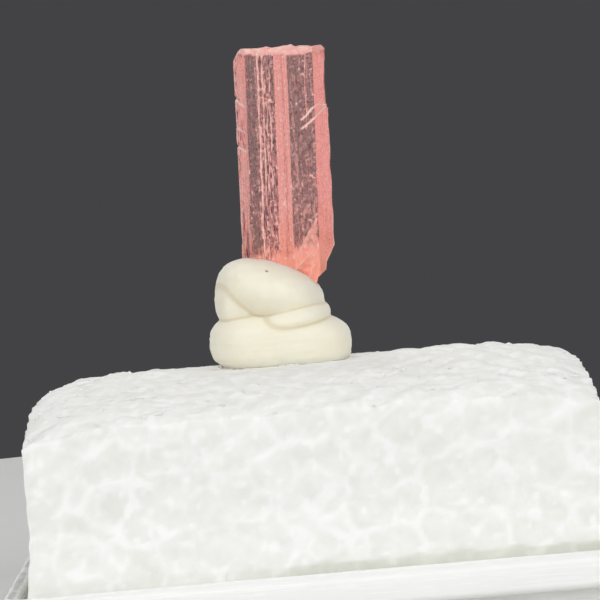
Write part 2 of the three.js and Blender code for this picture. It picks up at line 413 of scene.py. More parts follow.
@dataclass(frozen=True)
class Vayrynenite:
    """Vayrynenite, a beryllium manganese phosphate, as it grew: striated, etched and a little frosted.

    Its high index gives a vitreous lustre and bright slopes, its manganese a rose colour that
    deepens with the way through it, and its etched faces scatter a pale haze over the clear dark.
    The real striations, etch pits and dashes are a few hundredths of a millimetre wide, too fine
    to show, so they are drawn as coarse as they need to show.
    """

    body: str = "#ffc8c2"
    # Painted light: the warmer colours stand in for the light that the putty scatters up into the foot
    putty_lit_body: str = "#ffc0ac"
    milk: str = "#fab0a8"
    putty_lit_milk: str = "#fb9c84"
    pale: str = "#ffd4c8"  # cracks and edges, which scatter nearly all the light they meet, and the highlights painted on the rim
    zoned: str = "#885a70"  # what the darker dashes leave of the colour
    putty_light_below: float = 20.5  # height under which the colours turn to the putty's painted light, down to the next one
    putty_light_above: float = 16.8
    index: float = 1.65
    rose: Triple = (0.95, 0.14, 0.075)  # what absorption leaves, by colour
    absorption: float = 160.0  # its density, in one over metres
    streak_width: float = 0.1
    streak_length: float = 2.6
    pit: float = 0.16
    dash_width: float = 0.075
    dash_length: float = 0.42
    dash_edge: Pair = (0.49, 0.57)  # noise values between which a dash sets in
    etched_between: Pair = (0.85, 1.3)  # streaks and pits added up
    clear_roughness: float = 0.14
    etched_roughness: float = 0.45
    frost_roughness: float = 0.55
    hazed_between: Pair = (1.0, 1.2)  # streaks and pits added up
    haze_gain: Pair = (0.6, 2.6)  # how strongly the painted haze shows there
    milk_covers: float = 0.3  # milky share from which only the milk's own colour shows

    def material(self) -> bpy.types.Material:
        """Makes the material.

        Returns:
            The material, which reads the shares that are painted on the crystal's points.
        """
        material, tree, place = new_material("vayrynenite_grown_striated")
        painted = {
            name: add(tree, "ShaderNodeAttribute", {}, attribute_name=name).outputs["Fac"]
            for name in ("frost", "milk", "pale", "haze", "zone")
        }
        etching = self.etching(tree, place)
        etched = add(tree, "ShaderNodeMapRange", {
            "Value": etching,
            "From Min": self.etched_between[0],
            "From Max": self.etched_between[1],
            "To Min": self.clear_roughness,
            "To Max": self.etched_roughness,
        })
        roughness = add(tree, "ShaderNodeMix", {
            MIX_SHARE: painted["frost"],
            MIX_VALUE_A: etched.outputs[0],
            MIX_VALUE_B: self.frost_roughness,
        })
        milky = self.milkiness(tree, etching, painted)
        clear = add(tree, "ShaderNodeMath", {0: 1.0, 1: milky}, operation="SUBTRACT")
        shown = add(tree, "ShaderNodeMix", {
            MIX_SHARE: self.zoning(tree, place, painted),
            MIX_COLOUR_A: self.colour(tree, place, milky, painted),
            MIX_COLOUR_B: linear(self.zoned),
        }, data_type="RGBA", blend_type="MULTIPLY")
        glass = add(tree, "ShaderNodeBsdfPrincipled", {
            "Base Color": shown.outputs[MIXED_COLOUR],
            "Roughness": roughness.outputs[0],
            "IOR": self.index,
            "Transmission Weight": clear.outputs[0],
        })
        inside = add(tree, "ShaderNodeVolumeAbsorption", {
            "Color": (*self.rose, 1.0),
            "Density": self.absorption,
        })
        add(tree, "ShaderNodeOutputMaterial", {"Surface": glass.outputs[0], "Volume": inside.outputs[0]})
        return material

    def etching(self, tree: Tree, place: Socket) -> Socket:
        """Draws the growth streaks and etch pits, added up.

        Args:
            tree: the material's nodes.
            place: the coordinates in millimetres.

        Returns:
            Their sum, about 1 on the whole and higher where the crystal is more etched.
        """
        across = 1 / self.streak_width
        drawn = add(tree, "ShaderNodeMapping", {
            0: place,
            "Scale": (across, across, 1 / self.streak_length),
        })
        streaks = add(tree, "ShaderNodeTexNoise", {"Vector": drawn.outputs[0], "Scale": 1.0, "Detail": 3.0})
        pits = add(tree, "ShaderNodeTexNoise", {"Vector": place, "Scale": 1 / self.pit, "Detail": 2.0})
        both = add(tree, "ShaderNodeMath", {0: streaks.outputs[0], 1: pits.outputs[0]}, operation="ADD")
        return both.outputs[0]

    def milkiness(self, tree: Tree, etching: Socket, painted: dict[str, Socket]) -> Socket:
        """Adds the haze of the etched faces to the milk of the broken places.

        Args:
            tree: the material's nodes.
            etching: the growth streaks and etch pits.
            painted: the shares painted on the crystal.

        Returns:
            The share of the light that is scattered, from 0 to 1.
        """
        hazed = add(tree, "ShaderNodeMapRange", {
            "Value": etching,
            "From Min": self.hazed_between[0],
            "From Max": self.hazed_between[1],
            "To Min": self.haze_gain[0],
            "To Max": self.haze_gain[1],
        })
        milky = add(tree, "ShaderNodeMath", {
            0: painted["haze"],
            1: hazed.outputs[0],
            2: painted["milk"],
        }, operation="MULTIPLY_ADD", use_clamp=True)
        return milky.outputs[0]

    def colour(self, tree: Tree, place: Socket, milky: Socket, painted: dict[str, Socket]) -> Socket:
        """Mixes the colours of the clear, the milky and the pale places, with the putty's light painted in
        near the foot.

        Args:
            tree: the material's nodes.
            place: the coordinates in millimetres.
            milky: the share of the light that is scattered.
            painted: the shares painted on the crystal.

        Returns:
            The colour without the darker dashes.
        """
        split = add(tree, "ShaderNodeSeparateXYZ", {0: place})
        # Painted light of the putty, from the foot up
        putty_light_share = add(tree, "ShaderNodeMapRange", {
            "Value": split.outputs["Z"],
            "From Min": self.putty_light_below,
            "From Max": self.putty_light_above,
        })
        body, milk = (
            add(tree, "ShaderNodeMix", {
                MIX_SHARE: putty_light_share.outputs[0],
                MIX_COLOUR_A: linear(cool),
                MIX_COLOUR_B: linear(putty_lit),
            }, data_type="RGBA")
            for cool, putty_lit in ((self.body, self.putty_lit_body), (self.milk, self.putty_lit_milk))
        )
        paled = add(tree, "ShaderNodeMix", {
            MIX_SHARE: painted["pale"],
            MIX_COLOUR_A: milk.outputs[MIXED_COLOUR],
            MIX_COLOUR_B: linear(self.pale),
        }, data_type="RGBA")
        covered = add(tree, "ShaderNodeMapRange", {"Value": milky, "From Max": self.milk_covers})
        shown = add(tree, "ShaderNodeMix", {
            MIX_SHARE: covered.outputs[0],
            MIX_COLOUR_A: body.outputs[MIXED_COLOUR],
            MIX_COLOUR_B: paled.outputs[MIXED_COLOUR],
        }, data_type="RGBA")
        return shown.outputs[MIXED_COLOUR]

    def zoning(self, tree: Tree, place: Socket, painted: dict[str, Socket]) -> Socket:
        """Draws the darker dashes, which run together where the painted zone is over 1.

        Args:
            tree: the material's nodes.
            place: the coordinates in millimetres.
            painted: the shares painted on the crystal.

        Returns:
            The share to which each place is darker, from 0 to 1.
        """
        across = 1 / self.dash_width
        drawn = add(tree, "ShaderNodeMapping", {
            0: place,
            "Scale": (across, across, 1 / self.dash_length),
        })
        dashes = add(tree, "ShaderNodeTexNoise", {"Vector": drawn.outputs[0], "Scale": 1.0, "Detail": 2.0})
        dashed = add(tree, "ShaderNodeMapRange", {
            "Value": dashes.outputs[0],
            "From Min": self.dash_edge[0],
            "From Max": self.dash_edge[1],
        })
        zone = painted["zone"]
        in_dash = add(tree, "ShaderNodeMath", {0: dashed.outputs[0], 1: zone}, operation="MULTIPLY")
        solid = add(tree, "ShaderNodeMath", {0: zone, 1: 1.0}, operation="SUBTRACT")
        zoning = add(tree, "ShaderNodeMath", {
            0: in_dash.outputs[0],
            1: solid.outputs[0],
        }, operation="MAXIMUM", use_clamp=True)
        return zoning.outputs[0]


@dataclass(frozen=True)
class MountingPutty:
    """Mounting putty, kneaded by hand: an oily clay-like rubber that scatters light inside.

    Its soft light fills the folds, where shade is also painted into its colour, a faint gloss
    shows where fingers pressed it, and it has picked up a grain of brown dirt. Its filler is too
    fine to show, so its grain is drawn as coarse as it needs to show.
    """

    pressed: str = "#f8f3e2"
    # Darker colour: painted shade deep in the folds between lobes, and the clouds' own tone
    cloud_and_crease_shade: str = "#e9e0c8"
    dirt: str = "#80604c"
    cloud: float = 1.3
    cloud_share: float = 0.35  # how much of the darker colour the clouds bring
    grain: float = 0.12
    grain_height: float = 0.01
    grain_strength: float = 0.35
    index: float = 1.47
    inner_light: float = 0.6  # share of the light that goes in and comes out again
    scatter: float = 1.1
    scatter_by_colour: Triple = (1.0, 0.85, 0.6)
    roughness: Pair = (0.42, 0.66)  # from pressed by a finger to dull
    dirt_at: Triple = (-1.62, -1.9, 17.04)
    dirt_reach: float = 0.11

    def material(self) -> bpy.types.Material:
        """Makes the material.

        Returns:
            The material, which paints shade into the folds, by how deep in one each of the putty's points
            lies.
        """
        material, tree, place = new_material("mounting_putty_kneaded")
        clouds = add(tree, "ShaderNodeTexNoise", {"Vector": place, "Scale": 1 / self.cloud, "Detail": 3.0})
        crease_shade = add(tree, "ShaderNodeAttribute", {}, attribute_name="crease_shade")
        # Painted shade: the folds and the clouds mix in the darker colour
        shade = add(tree, "ShaderNodeMath", {
            0: clouds.outputs[0],
            1: self.cloud_share,
            2: crease_shade.outputs["Fac"],
        }, operation="MULTIPLY_ADD", use_clamp=True)
        body = add(tree, "ShaderNodeMix", {
            MIX_SHARE: shade.outputs[0],
            MIX_COLOUR_A: linear(self.pressed),
            MIX_COLOUR_B: linear(self.cloud_and_crease_shade),
        }, data_type="RGBA")
        away = add(tree, "ShaderNodeVectorMath", {0: place, 1: self.dirt_at}, operation="DISTANCE")
        dirt = add(tree, "ShaderNodeMapRange", {
            "Value": away.outputs["Value"],
            "From Min": self.dirt_reach,
            "From Max": self.dirt_reach / 3,
        })
        colour = add(tree, "ShaderNodeMix", {
            MIX_SHARE: dirt.outputs[0],
            MIX_COLOUR_A: body.outputs[MIXED_COLOUR],
            MIX_COLOUR_B: linear(self.dirt),
        }, data_type="RGBA")
        grain = add(tree, "ShaderNodeTexNoise", {"Vector": place, "Scale": 1 / self.grain, "Detail": 2.0})
        skin = add(tree, "ShaderNodeBump", {
            "Height": grain.outputs[0],
            "Strength": self.grain_strength,
            "Distance": self.grain_height * MM,
        })
        gloss = add(tree, "ShaderNodeMapRange", {
            "Value": clouds.outputs[0],
            "To Min": self.roughness[0],
            "To Max": self.roughness[1],
        })
        putty = add(tree, "ShaderNodeBsdfPrincipled", {
            "Base Color": colour.outputs[MIXED_COLOUR],
            "Roughness": gloss.outputs[0],
            "IOR": self.index,
            "Subsurface Weight": self.inner_light,
            "Subsurface Radius": self.scatter_by_colour,
            "Subsurface Scale": self.scatter * MM,
            "Normal": skin.outputs[0],
        })
        add(tree, "ShaderNodeOutputMaterial", {"Surface": putty.outputs[0]})
        return material


@dataclass(frozen=True)
class BeadFoam:
    """Expanded polystyrene, cut from a slab with a hot wire and torn on top.

    The cut shows its beads as soft grey cells between bright walls, with a matte grain. The
    cells in each bead are too fine to show, so that grain is drawn as coarse as it needs to show.
    """

    bead: str = "#eeefe9"
    wall: str = "#fffffd"
    foot_shade: str = "#e4e4dc"  # painted shade on the white, near the foot, where it meets the tray's lip
    grain: float = 0.16
    grain_height: float = 0.02
    grain_strength: float = 0.5
    index: float = 1.3
    inner_light: float = 0.3  # share of the light that goes in and comes out again
    scatter: float = 0.7
    roughness: Pair = (0.65, 0.95)

    def material(self) -> bpy.types.Material:
        """Makes the material.

        Returns:
            The material, which reads the bead walls and the shade painted near the block's foot.
        """
        material, tree, place = new_material("expanded_polystyrene_hot_wire_cut")
        wall, foot_shade_share = (
            add(tree, "ShaderNodeAttribute", {}, attribute_name=name).outputs["Fac"]
            for name in ("bead_wall", "foot_shade")
        )
        colour = add(tree, "ShaderNodeMix", {
            MIX_SHARE: wall,
            MIX_COLOUR_A: linear(self.bead),
            MIX_COLOUR_B: linear(self.wall),
        }, data_type="RGBA")
        # Painted shade near the foot darkens the white
        shown = add(tree, "ShaderNodeMix", {
            MIX_SHARE: foot_shade_share,
            MIX_COLOUR_A: colour.outputs[MIXED_COLOUR],
            MIX_COLOUR_B: linear(self.foot_shade),
        }, data_type="RGBA", blend_type="MULTIPLY")
        grain = add(tree, "ShaderNodeTexNoise", {"Vector": place, "Scale": 1 / self.grain, "Detail": 3.0})
        skin = add(tree, "ShaderNodeBump", {
            "Height": grain.outputs[0],
            "Strength": self.grain_strength,
            "Distance": self.grain_height * MM,
        })
        gloss = add(tree, "ShaderNodeMapRange", {
            "Value": grain.outputs[0],
            "To Min": self.roughness[0],
            "To Max": self.roughness[1],
        })
        foam = add(tree, "ShaderNodeBsdfPrincipled", {
            "Base Color": shown.outputs[MIXED_COLOUR],
            "Roughness": gloss.outputs[0],
            "IOR": self.index,
            "Subsurface Weight": self.inner_light,
            "Subsurface Radius": (1.0, 1.0, 1.0),
            "Subsurface Scale": self.scatter * MM,
            "Normal": skin.outputs[0],
        })
        add(tree, "ShaderNodeOutputMaterial", {"Surface": foam.outputs[0]})
        return material


@dataclass(frozen=True)
class MouldedPolystyrene:
    """White polystyrene, injection moulded in a polished tool.

    It is glossy, a little cloudy in depth, and faintly hazed where it has been handled. The
    rubs of handling are too fine to show, so they are drawn as coarse as they need to show.
    """

    white: str = "#fcfcfa"
    shade: str = "#f4f5f2"
    cloud: float = 2.4
    rub_width: float = 0.12
    rub_length: float = 3.0
    rubbed_between: Pair = (0.35, 0.75)  # noise values from clean to most rubbed
    roughness: Pair = (0.16, 0.34)  # from clean to rubbed
    index: float = 1.59
    inner_light: float = 0.15  # share of the light that goes in and comes out again
    scatter: float = 0.5

    def material(self) -> bpy.types.Material:
        """Makes the material.

        Returns:
            The material.
        """
        material, tree, place = new_material("polystyrene_injection_moulded")
        clouds = add(tree, "ShaderNodeTexNoise", {"Vector": place, "Scale": 1 / self.cloud, "Detail": 4.0})
        colour = add(tree, "ShaderNodeMix", {
            MIX_SHARE: clouds.outputs[0],
            MIX_COLOUR_A: linear(self.white),
            MIX_COLOUR_B: linear(self.shade),
        }, data_type="RGBA")
        along = 1 / self.rub_length
        drawn = add(tree, "ShaderNodeMapping", {0: place, "Scale": (along, along, 1 / self.rub_width)})
        rubs = add(tree, "ShaderNodeTexNoise", {"Vector": drawn.outputs[0], "Scale": 1.0, "Detail": 2.0})
        gloss = add(tree, "ShaderNodeMapRange", {
            "Value": rubs.outputs[0],
            "From Min": self.rubbed_between[0],
            "From Max": self.rubbed_between[1],
            "To Min": self.roughness[0],
            "To Max": self.roughness[1],
        })
        plastic = add(tree, "ShaderNodeBsdfPrincipled", {
            "Base Color": colour.outputs[MIXED_COLOUR],
            "Roughness": gloss.outputs[0],
            "IOR": self.index,
            "Subsurface Weight": self.inner_light,
            "Subsurface Radius": (1.0, 1.0, 1.0),
            "Subsurface Scale": self.scatter * MM,
        })
        add(tree, "ShaderNodeOutputMaterial", {"Surface": plastic.outputs[0]})
        return material


@dataclass(frozen=True)
class PaintedTable:
    """Matte paint, rolled on a table top: plain and pale, and a little uneven in its dullness."""

    paint: str = "#dededc"
    cloud: float = 20.0
    roughness: Pair = (0.6, 0.75)

    def material(self) -> bpy.types.Material:
        """Makes the material.

        Returns:
            The material.
        """
        material, tree, place = new_material("matte_table_painted")
        clouds = add(tree, "ShaderNodeTexNoise", {"Vector": place, "Scale": 1 / self.cloud, "Detail": 2.0})
        gloss = add(tree, "ShaderNodeMapRange", {
            "Value": clouds.outputs[0],
            "To Min": self.roughness[0],
            "To Max": self.roughness[1],
        })
        coat = add(tree, "ShaderNodeBsdfPrincipled", {
            "Base Color": linear(self.paint),
            "Roughness": gloss.outputs[0],
        })
        add(tree, "ShaderNodeOutputMaterial", {"Surface": coat.outputs[0]})
        return material


@dataclass
class BoxBase:
    """The shallow moulded tray of a specimen box, with a rounded lip that overhangs its foot."""

    node: str = "box_base"
    corner_radius: float = 1.4
    foot_inset: float = 1.1
    foot_height: float = 0.75
    wall: float = 0.9
    lower_round: float = 0.4
    outer_round: float = 0.5
    inner_round: float = 0.4
    arc_steps: int = 8
    corner_steps: int = 16

    def arc(self, middle: Pair, radius: float, start: float) -> list[Pair]:
        """A quarter of a circle in the section, counter-clockwise.

        Args:
            middle: its middle, as distance from the tray's middle and height.
            radius: its radius.
            start: the angle at which it starts, in degrees.

        Returns:
            Its points.
        """
        angles = np.radians(start + np.linspace(0, 90, self.arc_steps + 1))
        return [(middle[0] + radius * math.cos(a), middle[1] + radius * math.sin(a)) for a in angles]

    def section(self) -> list[Pair]:
        """Works out the wall's section: up the foot, round the lip and down to the floor inside.

        Returns:
            Its points, as distance from the tray's middle and height.
        """
        half = high_corner(self.node).x
        height = high_corner(self.node).z
        floor = low_corner("foam_block").z
        foot = half - self.foot_inset
        inner = half - self.wall
        return [
            (foot, 0.0),
            (foot, self.foot_height),
            *self.arc((half - self.lower_round, self.foot_height + self.lower_round), self.lower_round, -90),
            *self.arc((half - self.outer_round, height - self.outer_round), self.outer_round, 0),
            *self.arc((inner + self.inner_round, height - self.inner_round), self.inner_round, 90),
            (inner, floor),
        ]

    def ring(self, half: float, height: float) -> list[Triple]:
        """A square with rounded corners.

        Args:
            half: half its width.
            height: its height.

        Returns:
            Its points, counter-clockwise.
        """
        middle = high_corner(self.node).x - self.corner_radius
        radius = half - middle
        points = []
        for corner in range(4):
            turn = corner * math.pi / 2
            x = middle * math.sqrt(2) * math.cos(turn + math.pi / 4)
            y = middle * math.sqrt(2) * math.sin(turn + math.pi / 4)
            for angle in turn + np.linspace(0, math.pi / 2, self.corner_steps + 1):
                points.append((x + radius * math.cos(angle), y + radius * math.sin(angle), height))
        return points

    def build(self) -> Piece:
        """Builds the tray.

        Returns:
            The tray.
        """
        rings = [self.ring(half, height) for half, height in self.section()]
        points = np.array(rings).reshape(-1, 3)
        piece = make_piece("box_base_moulded", points, tube_faces(len(rings), len(rings[0])))
        finish_shape(piece, sharp_over=40)
        return piece

    def dress(self, piece: Piece) -> None:
        """Gives the tray its plastic and its place."""
        settle(piece, self.node, MouldedPolystyrene().material())


@dataclass
class FoamBlock:
    """The hand-cut foam block, flat under the putty, lower and torn towards its edges."""

    node: str = "foam_block"
    top_half: float = 14.3
    foot_half: float = 14.8
    taper_top: float = 0.5  # share of the height above which the sides stand upright
    cells_across: int = 190
    cells_up: int = 60
    # Soft lumps of the cut, and how far from the putty they start
    lump: float = 0.12
    side_lump: float = 0.05
    lump_pitch: float = 3.4
    lump_wander: float = 0.65
    lump_bend: float = 2.0
    lumps_start: float = 4.6
    lumps_full: float = 7.0
    # The top's fall towards each side, and its rounded-off edge
    flat_front: float = -2.5
    flat_back: float = 3.0
    front_drop: float = 1.28
    back_drop: float = 1.35
    right_drop: float = 0.75
    right_drop_start: float = 7.3
    left_drop: float = 0.7
    left_drop_start: float = -9.3
    edge_wear: float = 0.26
    edge_wear_reach: float = 1.7
    # Torn grain of the top, and what is left of it where the putty presses
    torn_height: float = 0.09
    coarse_tears: Noise = Noise(0.884, 0.5, 11)
    torn_ridges: Noise = Noise(0.34, 1.0, 12)
    ridge_share: float = 0.7
    pressed_flat: float = 0.4
    pressed_lift: float = 0.02
    # Beads, with bright walls that are ragged and brightest where three beads meet
    bead: float = 1.6
    bead_seed: int = 13
    bead_hollow: float = 0.007
    hollow_varies: float = 0.5
    wall_width: float = 0.3
    wall_core: float = 0.2  # share of a wall's width that is fully bright
    corner_ragged: float = 0.2
    corner_reach: Pair = (0.04, 0.44)
    fine_ragged: Noise = Noise(0.3, 1.0, 14)
    broad_ragged: Noise = Noise(0.9, 0.6, 16)
    grain: Noise = Noise(0.36, 0.02, 15)
    # Brightness of the beads, as shares of the wall's white
    base_bright: float = 0.27
    patches: Noise = Noise(1.2, 1.4, 17)
    patches_mean: float = 0.25
    corner_bright: Pair = (0.4, 0.65)  # outside a patch, and more in it
    wall_bright: float = 0.3
    wall_ragged: float = 0.6
    bead_varies: float = 0.12
    ragged_bright: float = 0.2
    flecks: Noise = Noise(0.45, 1.0, 18)
    fleck_between: Pair = (0.4, 0.75)
    fleck_bright: float = 0.5
    # Painted shade near the foot, by the height above the tray's lip
    foot_shade_line: Noise = Noise(0.8, 0.2, 19)
    foot_shade_between: Pair = (0.3, 0.5)
    foot_shade_patches: Noise = Noise(5.0, 0.8, 20)
    foot_shade_mean: float = 0.65
    # Loose crumbs, the first ones pushed up around the putty's foot
    crumbs: int = 340
    crumbs_at_putty: int = 150
    putty_middle: Pair = (-1.22, 0.5)
    putty_foot: Pair = (3.2, 2.58)
    putty_ring: Pair = (1.0, 1.1)  # shares of the way out to the foot's edge
    crumb_sizes: Pair = (0.07, 0.18)
    crumb_reach: float = 0.985  # share of the top's half width
    crumb_spread: float = 0.8  # under 1 for more of them near the edges
    crumb_growth: float = 0.9
    crumb_growth_power: float = 6  # higher for fewer big ones
    crumb_flatness: float = 0.75
    crumb_raggedness: float = 0.5
    crumb_sunk: float = 0.35  # share of its half width by which a crumb sits in the top
    crumb_start: float = 0.35  # share of the torn relief from which crumbs lie
    crumb_seed: int = 11

    def lumps(self, x: Array, y: Array, z: Array) -> Array:
        """Works out the soft lumps of the cut.

        Args:
            x: the places' x.
            y: their y.
            z: their height.

        Returns:
            Each place's share of a lump, between -1 and 1.
        """
        turn = 2 * math.pi / self.lump_pitch
        across = turn * x + self.lump_bend * np.sin(self.lump_wander * (y + z))
        along = turn * (y + z) + self.lump_bend * np.sin(self.lump_wander * x)
        return np.sin(across) * np.cos(along)

    def away_from_putty(self, x: Array, y: Array) -> Array:
        """Works out how freely the top is torn.

        Args:
            x: the places' x.
            y: their y.

        Returns:
            Each place's share of the torn relief: none where the putty presses it flat.
        """
        middle = (low_corner("mounting_putty") + high_corner("mounting_putty")) / 2
        away = np.maximum(np.abs(x - middle.x), np.abs(y - middle.y))
        return smoothstep(away, self.lumps_start, self.lumps_full)

    def top(self, x: Array, y: Array) -> Array:
        """Works out the top's height, without its torn grain.

        Args:
            x: the places' x.
            y: their y.

        Returns:
            The height at each place.
        """
        crest = low_corner("mounting_putty").z
        half = self.top_half

        def past(value: Array, start: float, end: float) -> Array:
            """Share of the way from start to end, 0 before it."""
            return np.maximum(0, (value - start) / (end - start))

        drop = self.front_drop * past(y, self.flat_front, -half) ** 2
        drop += self.back_drop * past(y, self.flat_back, half)
        drop += self.right_drop * past(x, self.right_drop_start, half) ** 2
        drop += self.left_drop * past(x, self.left_drop_start, -half) ** 2
        lumps = self.lump * self.away_from_putty(x, y) * self.lumps(x, y, np.zeros_like(x))
        return crest - drop + lumps

    def worn(self, to_edge: Array) -> Array:
        """How far the top is rounded off, by the distance to its edge."""
        return self.edge_wear * np.clip(1 - to_edge / self.edge_wear_reach, 0, 1) ** 2

    def torn(self, points: Array) -> Array:
        """Height of the torn grain at each point of the top."""
        ridged = 1 - 2 * np.abs(self.torn_ridges.at(points))
        return self.torn_height * (self.coarse_tears.at(points) + self.ridge_share * ridged)

    def build(self) -> Piece:
        """Builds the block, with its beads, its torn top and its crumbs.

        Returns:
            The block, painted with its bead walls and the shade near its foot.
        """
        unit, quads = box_shell((self.cells_across, self.cells_across, self.cells_up))
        u, v = 2 * unit[:, 0] - 1, 2 * unit[:, 1] - 1
        up = unit[:, 2]
        on_side = np.maximum(np.abs(u), np.abs(v)) == 1
        on_top = up == 1
        on_foot = up == 0
        half = self.foot_half + (self.top_half - self.foot_half) * np.minimum(1, up / self.taper_top)
        floor = low_corner(self.node).z
        crest = low_corner("mounting_putty").z
        bulge = np.where(on_side & ~on_foot, self.side_lump * self.lumps(u * half, v * half, up * crest), 0)
        x, y = u * (half + bulge), v * (half + bulge)
        to_edge = self.top_half * (1 - np.maximum(np.abs(u), np.abs(v)))
        z = floor + up * (self.top(x, y) - floor - self.worn(to_edge))
        points = np.stack((x, y, z), axis=1)

        ragged = self.fine_ragged.at(points) + self.broad_ragged.at(points)
        wall, corner, own = self.beads(points, ragged)
        hollow = -self.bead_hollow * (1 - wall) * (1 + self.hollow_varies * own)
        side_relief = np.where(on_foot, 0, hollow + self.grain.at(points))
        pressed = 1 - self.away_from_putty(x, y)
        top_relief = (1 - self.pressed_flat * pressed) * self.torn(points) + self.pressed_lift * pressed
        points[:, 0] += np.where(np.abs(u) == 1, np.sign(u) * side_relief, 0)
        points[:, 1] += np.where(np.abs(v) == 1, np.sign(v) * side_relief, 0)
        points[:, 2] += np.where(on_top, top_relief, 0)
        bright = self.brightness(points, wall, corner, own, ragged)

        crumb_points, crumb_faces = self.crumb_shapes()
        faces = quads[~on_foot[quads].all(axis=1)].tolist()
        faces.append(self.foot_ring(points, on_foot & on_side))
        faces.extend((crumb_faces + len(points)).tolist())
        bright = np.concatenate((bright, np.ones(len(crumb_points))))
        foot_shade = np.concatenate((self.foot_shading(points), np.zeros(len(crumb_points))))
        points = np.vstack((points, crumb_points))
        used, renumbered = np.unique(np.concatenate([np.ravel(face) for face in faces]), return_inverse=True)
        ends = np.cumsum([len(face) for face in faces])[:-1]
        piece = make_piece("foam_block_cut", points[used], np.split(renumbered, ends))
        paint(piece, "bead_wall", bright[used])
        paint(piece, "foot_shade", foot_shade[used])
        finish_shape(piece, sharp_over=60)
        return piece

    def beads(self, points: Array, ragged: Array) -> tuple[Array, Array, Array]:
        """Finds the beads that each point lies in or between.

        Args:
            points: the block's points.
            ragged: how ragged the bead walls are at each.

        Returns:
            Each point's share of a wall between two beads, its share of a corner where three
            meet, and its bead's own value between -1 and 1.
        """
        apart, corner_apart, own = cell_noise(points, self.bead, self.bead_seed)
        wall = 1 - smoothstep(apart, self.wall_core * self.wall_width, self.wall_width)
        ragged_apart = corner_apart + self.corner_ragged * ragged
        return wall, 1 - smoothstep(ragged_apart, *self.corner_reach), own

    def brightness(
        self, points: Array, wall: Array, corner: Array, own: Array, ragged: Array
    ) -> Array:
        """Works out how white the foam is: grey in the beads, bright in walls, corners and flecks.

        Args:
            points: the block's points.
            wall: their share of a wall between two beads.
            corner: their share of a corner where three beads meet.
            own: their bead's own value.
            ragged: how ragged the bead walls are at each point.

        Returns:
            The share of the wall's white at each point, from 0 to 1.
        """
        patch = np.clip(self.patches_mean + self.patches.at(points), 0, 1)
        plain, more = self.corner_bright
        blotches = corner * (plain + more * patch)
        blotches += self.wall_bright * wall * patch * (self.wall_ragged + ragged)
        flecks = smoothstep(self.flecks.at(points), *self.fleck_between)
        bright = self.base_bright + blotches + self.bead_varies * own + self.ragged_bright * ragged
        return np.clip(bright + self.fleck_bright * flecks, 0, 1)

    def foot_shading(self, points: Array) -> Array:
        """Works out the shade painted on the foam near its foot.

        Args:
            points: the block's points.

        Returns:
            The painted shade's share at each point, from 0 to 1.
        """
        over_lip = points[:, 2] - high_corner("box_base").z - self.foot_shade_line.at(points)
        uneven = np.clip(self.foot_shade_mean + self.foot_shade_patches.at(points), 0, 1)
        return uneven * (1 - smoothstep(over_lip, *self.foot_shade_between))

    def foot_ring(self, points: Array, ring: Array) -> list[int]:
        """The underside's outline as one face that looks down.

        Args:
            points: the block's points.
            ring: which of them lie on the outline.

        Returns:
            Their numbers, clockwise seen from above.
        """
        numbers = np.flatnonzero(ring)
        angles = np.arctan2(points[numbers, 1], points[numbers, 0])
        return numbers[np.argsort(-angles)].tolist()

    def around_putty(self, turns: Array, shares: Array) -> Array:
        """Places around the putty's foot, by the turn and by the share of the way out to its edge."""
        turned = np.column_stack((np.cos(turns), np.sin(turns)))
        return np.array(self.putty_middle) + turned * self.putty_foot * shares[:, None]

    def crumb_shapes(self) -> tuple[Array, Array]:
        """Makes torn crumbs of foam that cling to the top, near its edges and around the putty.

        Returns:
            Their points and their triangles.
        """
        work = bmesh.new()
        bmesh.ops.create_icosphere(work, subdivisions=1, radius=1)
        ball = np.array([v.co for v in work.verts])
        triangles = np.array([[v.index for v in face.verts] for face in work.faces])
        work.free()
        random = np.random.default_rng(self.crumb_seed)
        spot = random.uniform(-1, 1, (self.crumbs, 2))
        spot = np.sign(spot) * np.abs(spot) ** self.crumb_spread * self.crumb_reach * self.top_half
        size = random.uniform(*self.crumb_sizes, (self.crumbs, 1, 3))
        growth = random.uniform(0, 1, (self.crumbs, 1, 1)) ** self.crumb_growth_power
        size *= 1 + self.crumb_growth * growth
        size[:, 0, 2] *= self.crumb_flatness
        ragged = random.uniform(-1, 1, (self.crumbs, len(ball), 1))
        shapes = ball * (1 + self.crumb_raggedness * ragged) * size
        turns = random.uniform(0, 2 * math.pi, self.crumbs)
        across = shapes[:, :, 0] * np.cos(turns)[:, None] - shapes[:, :, 1] * np.sin(turns)[:, None]
        along = shapes[:, :, 0] * np.sin(turns)[:, None] + shapes[:, :, 1] * np.cos(turns)[:, None]
        shapes = np.stack((across, along, shapes[:, :, 2]), axis=2)
        around = self.around_putty(turns, random.uniform(*self.putty_ring, self.crumbs))
        pushed_up = np.arange(self.crumbs) < self.crumbs_at_putty
        spot = np.where(pushed_up[:, None], around, spot)
        base = np.column_stack((spot, self.top(spot[:, 0], spot[:, 1])))
        free = pushed_up | (self.away_from_putty(base[:, 0], base[:, 1]) > self.crumb_start)
        base[:, 2] -= self.worn(self.top_half - np.abs(spot).max(axis=1))
        base[:, 2] += self.torn(base) - self.crumb_sunk * size[:, 0, 2]
        shapes = (shapes + base[:, None, :])[free]
        first = np.arange(len(shapes))[:, None, None] * len(ball)
        return shapes.reshape(-1, 3), (triangles + first).reshape(-1, 3)

    def dress(self, piece: Piece) -> None:
        """Gives the block its foam and its place."""
        settle(piece, self.node, BeadFoam().material())


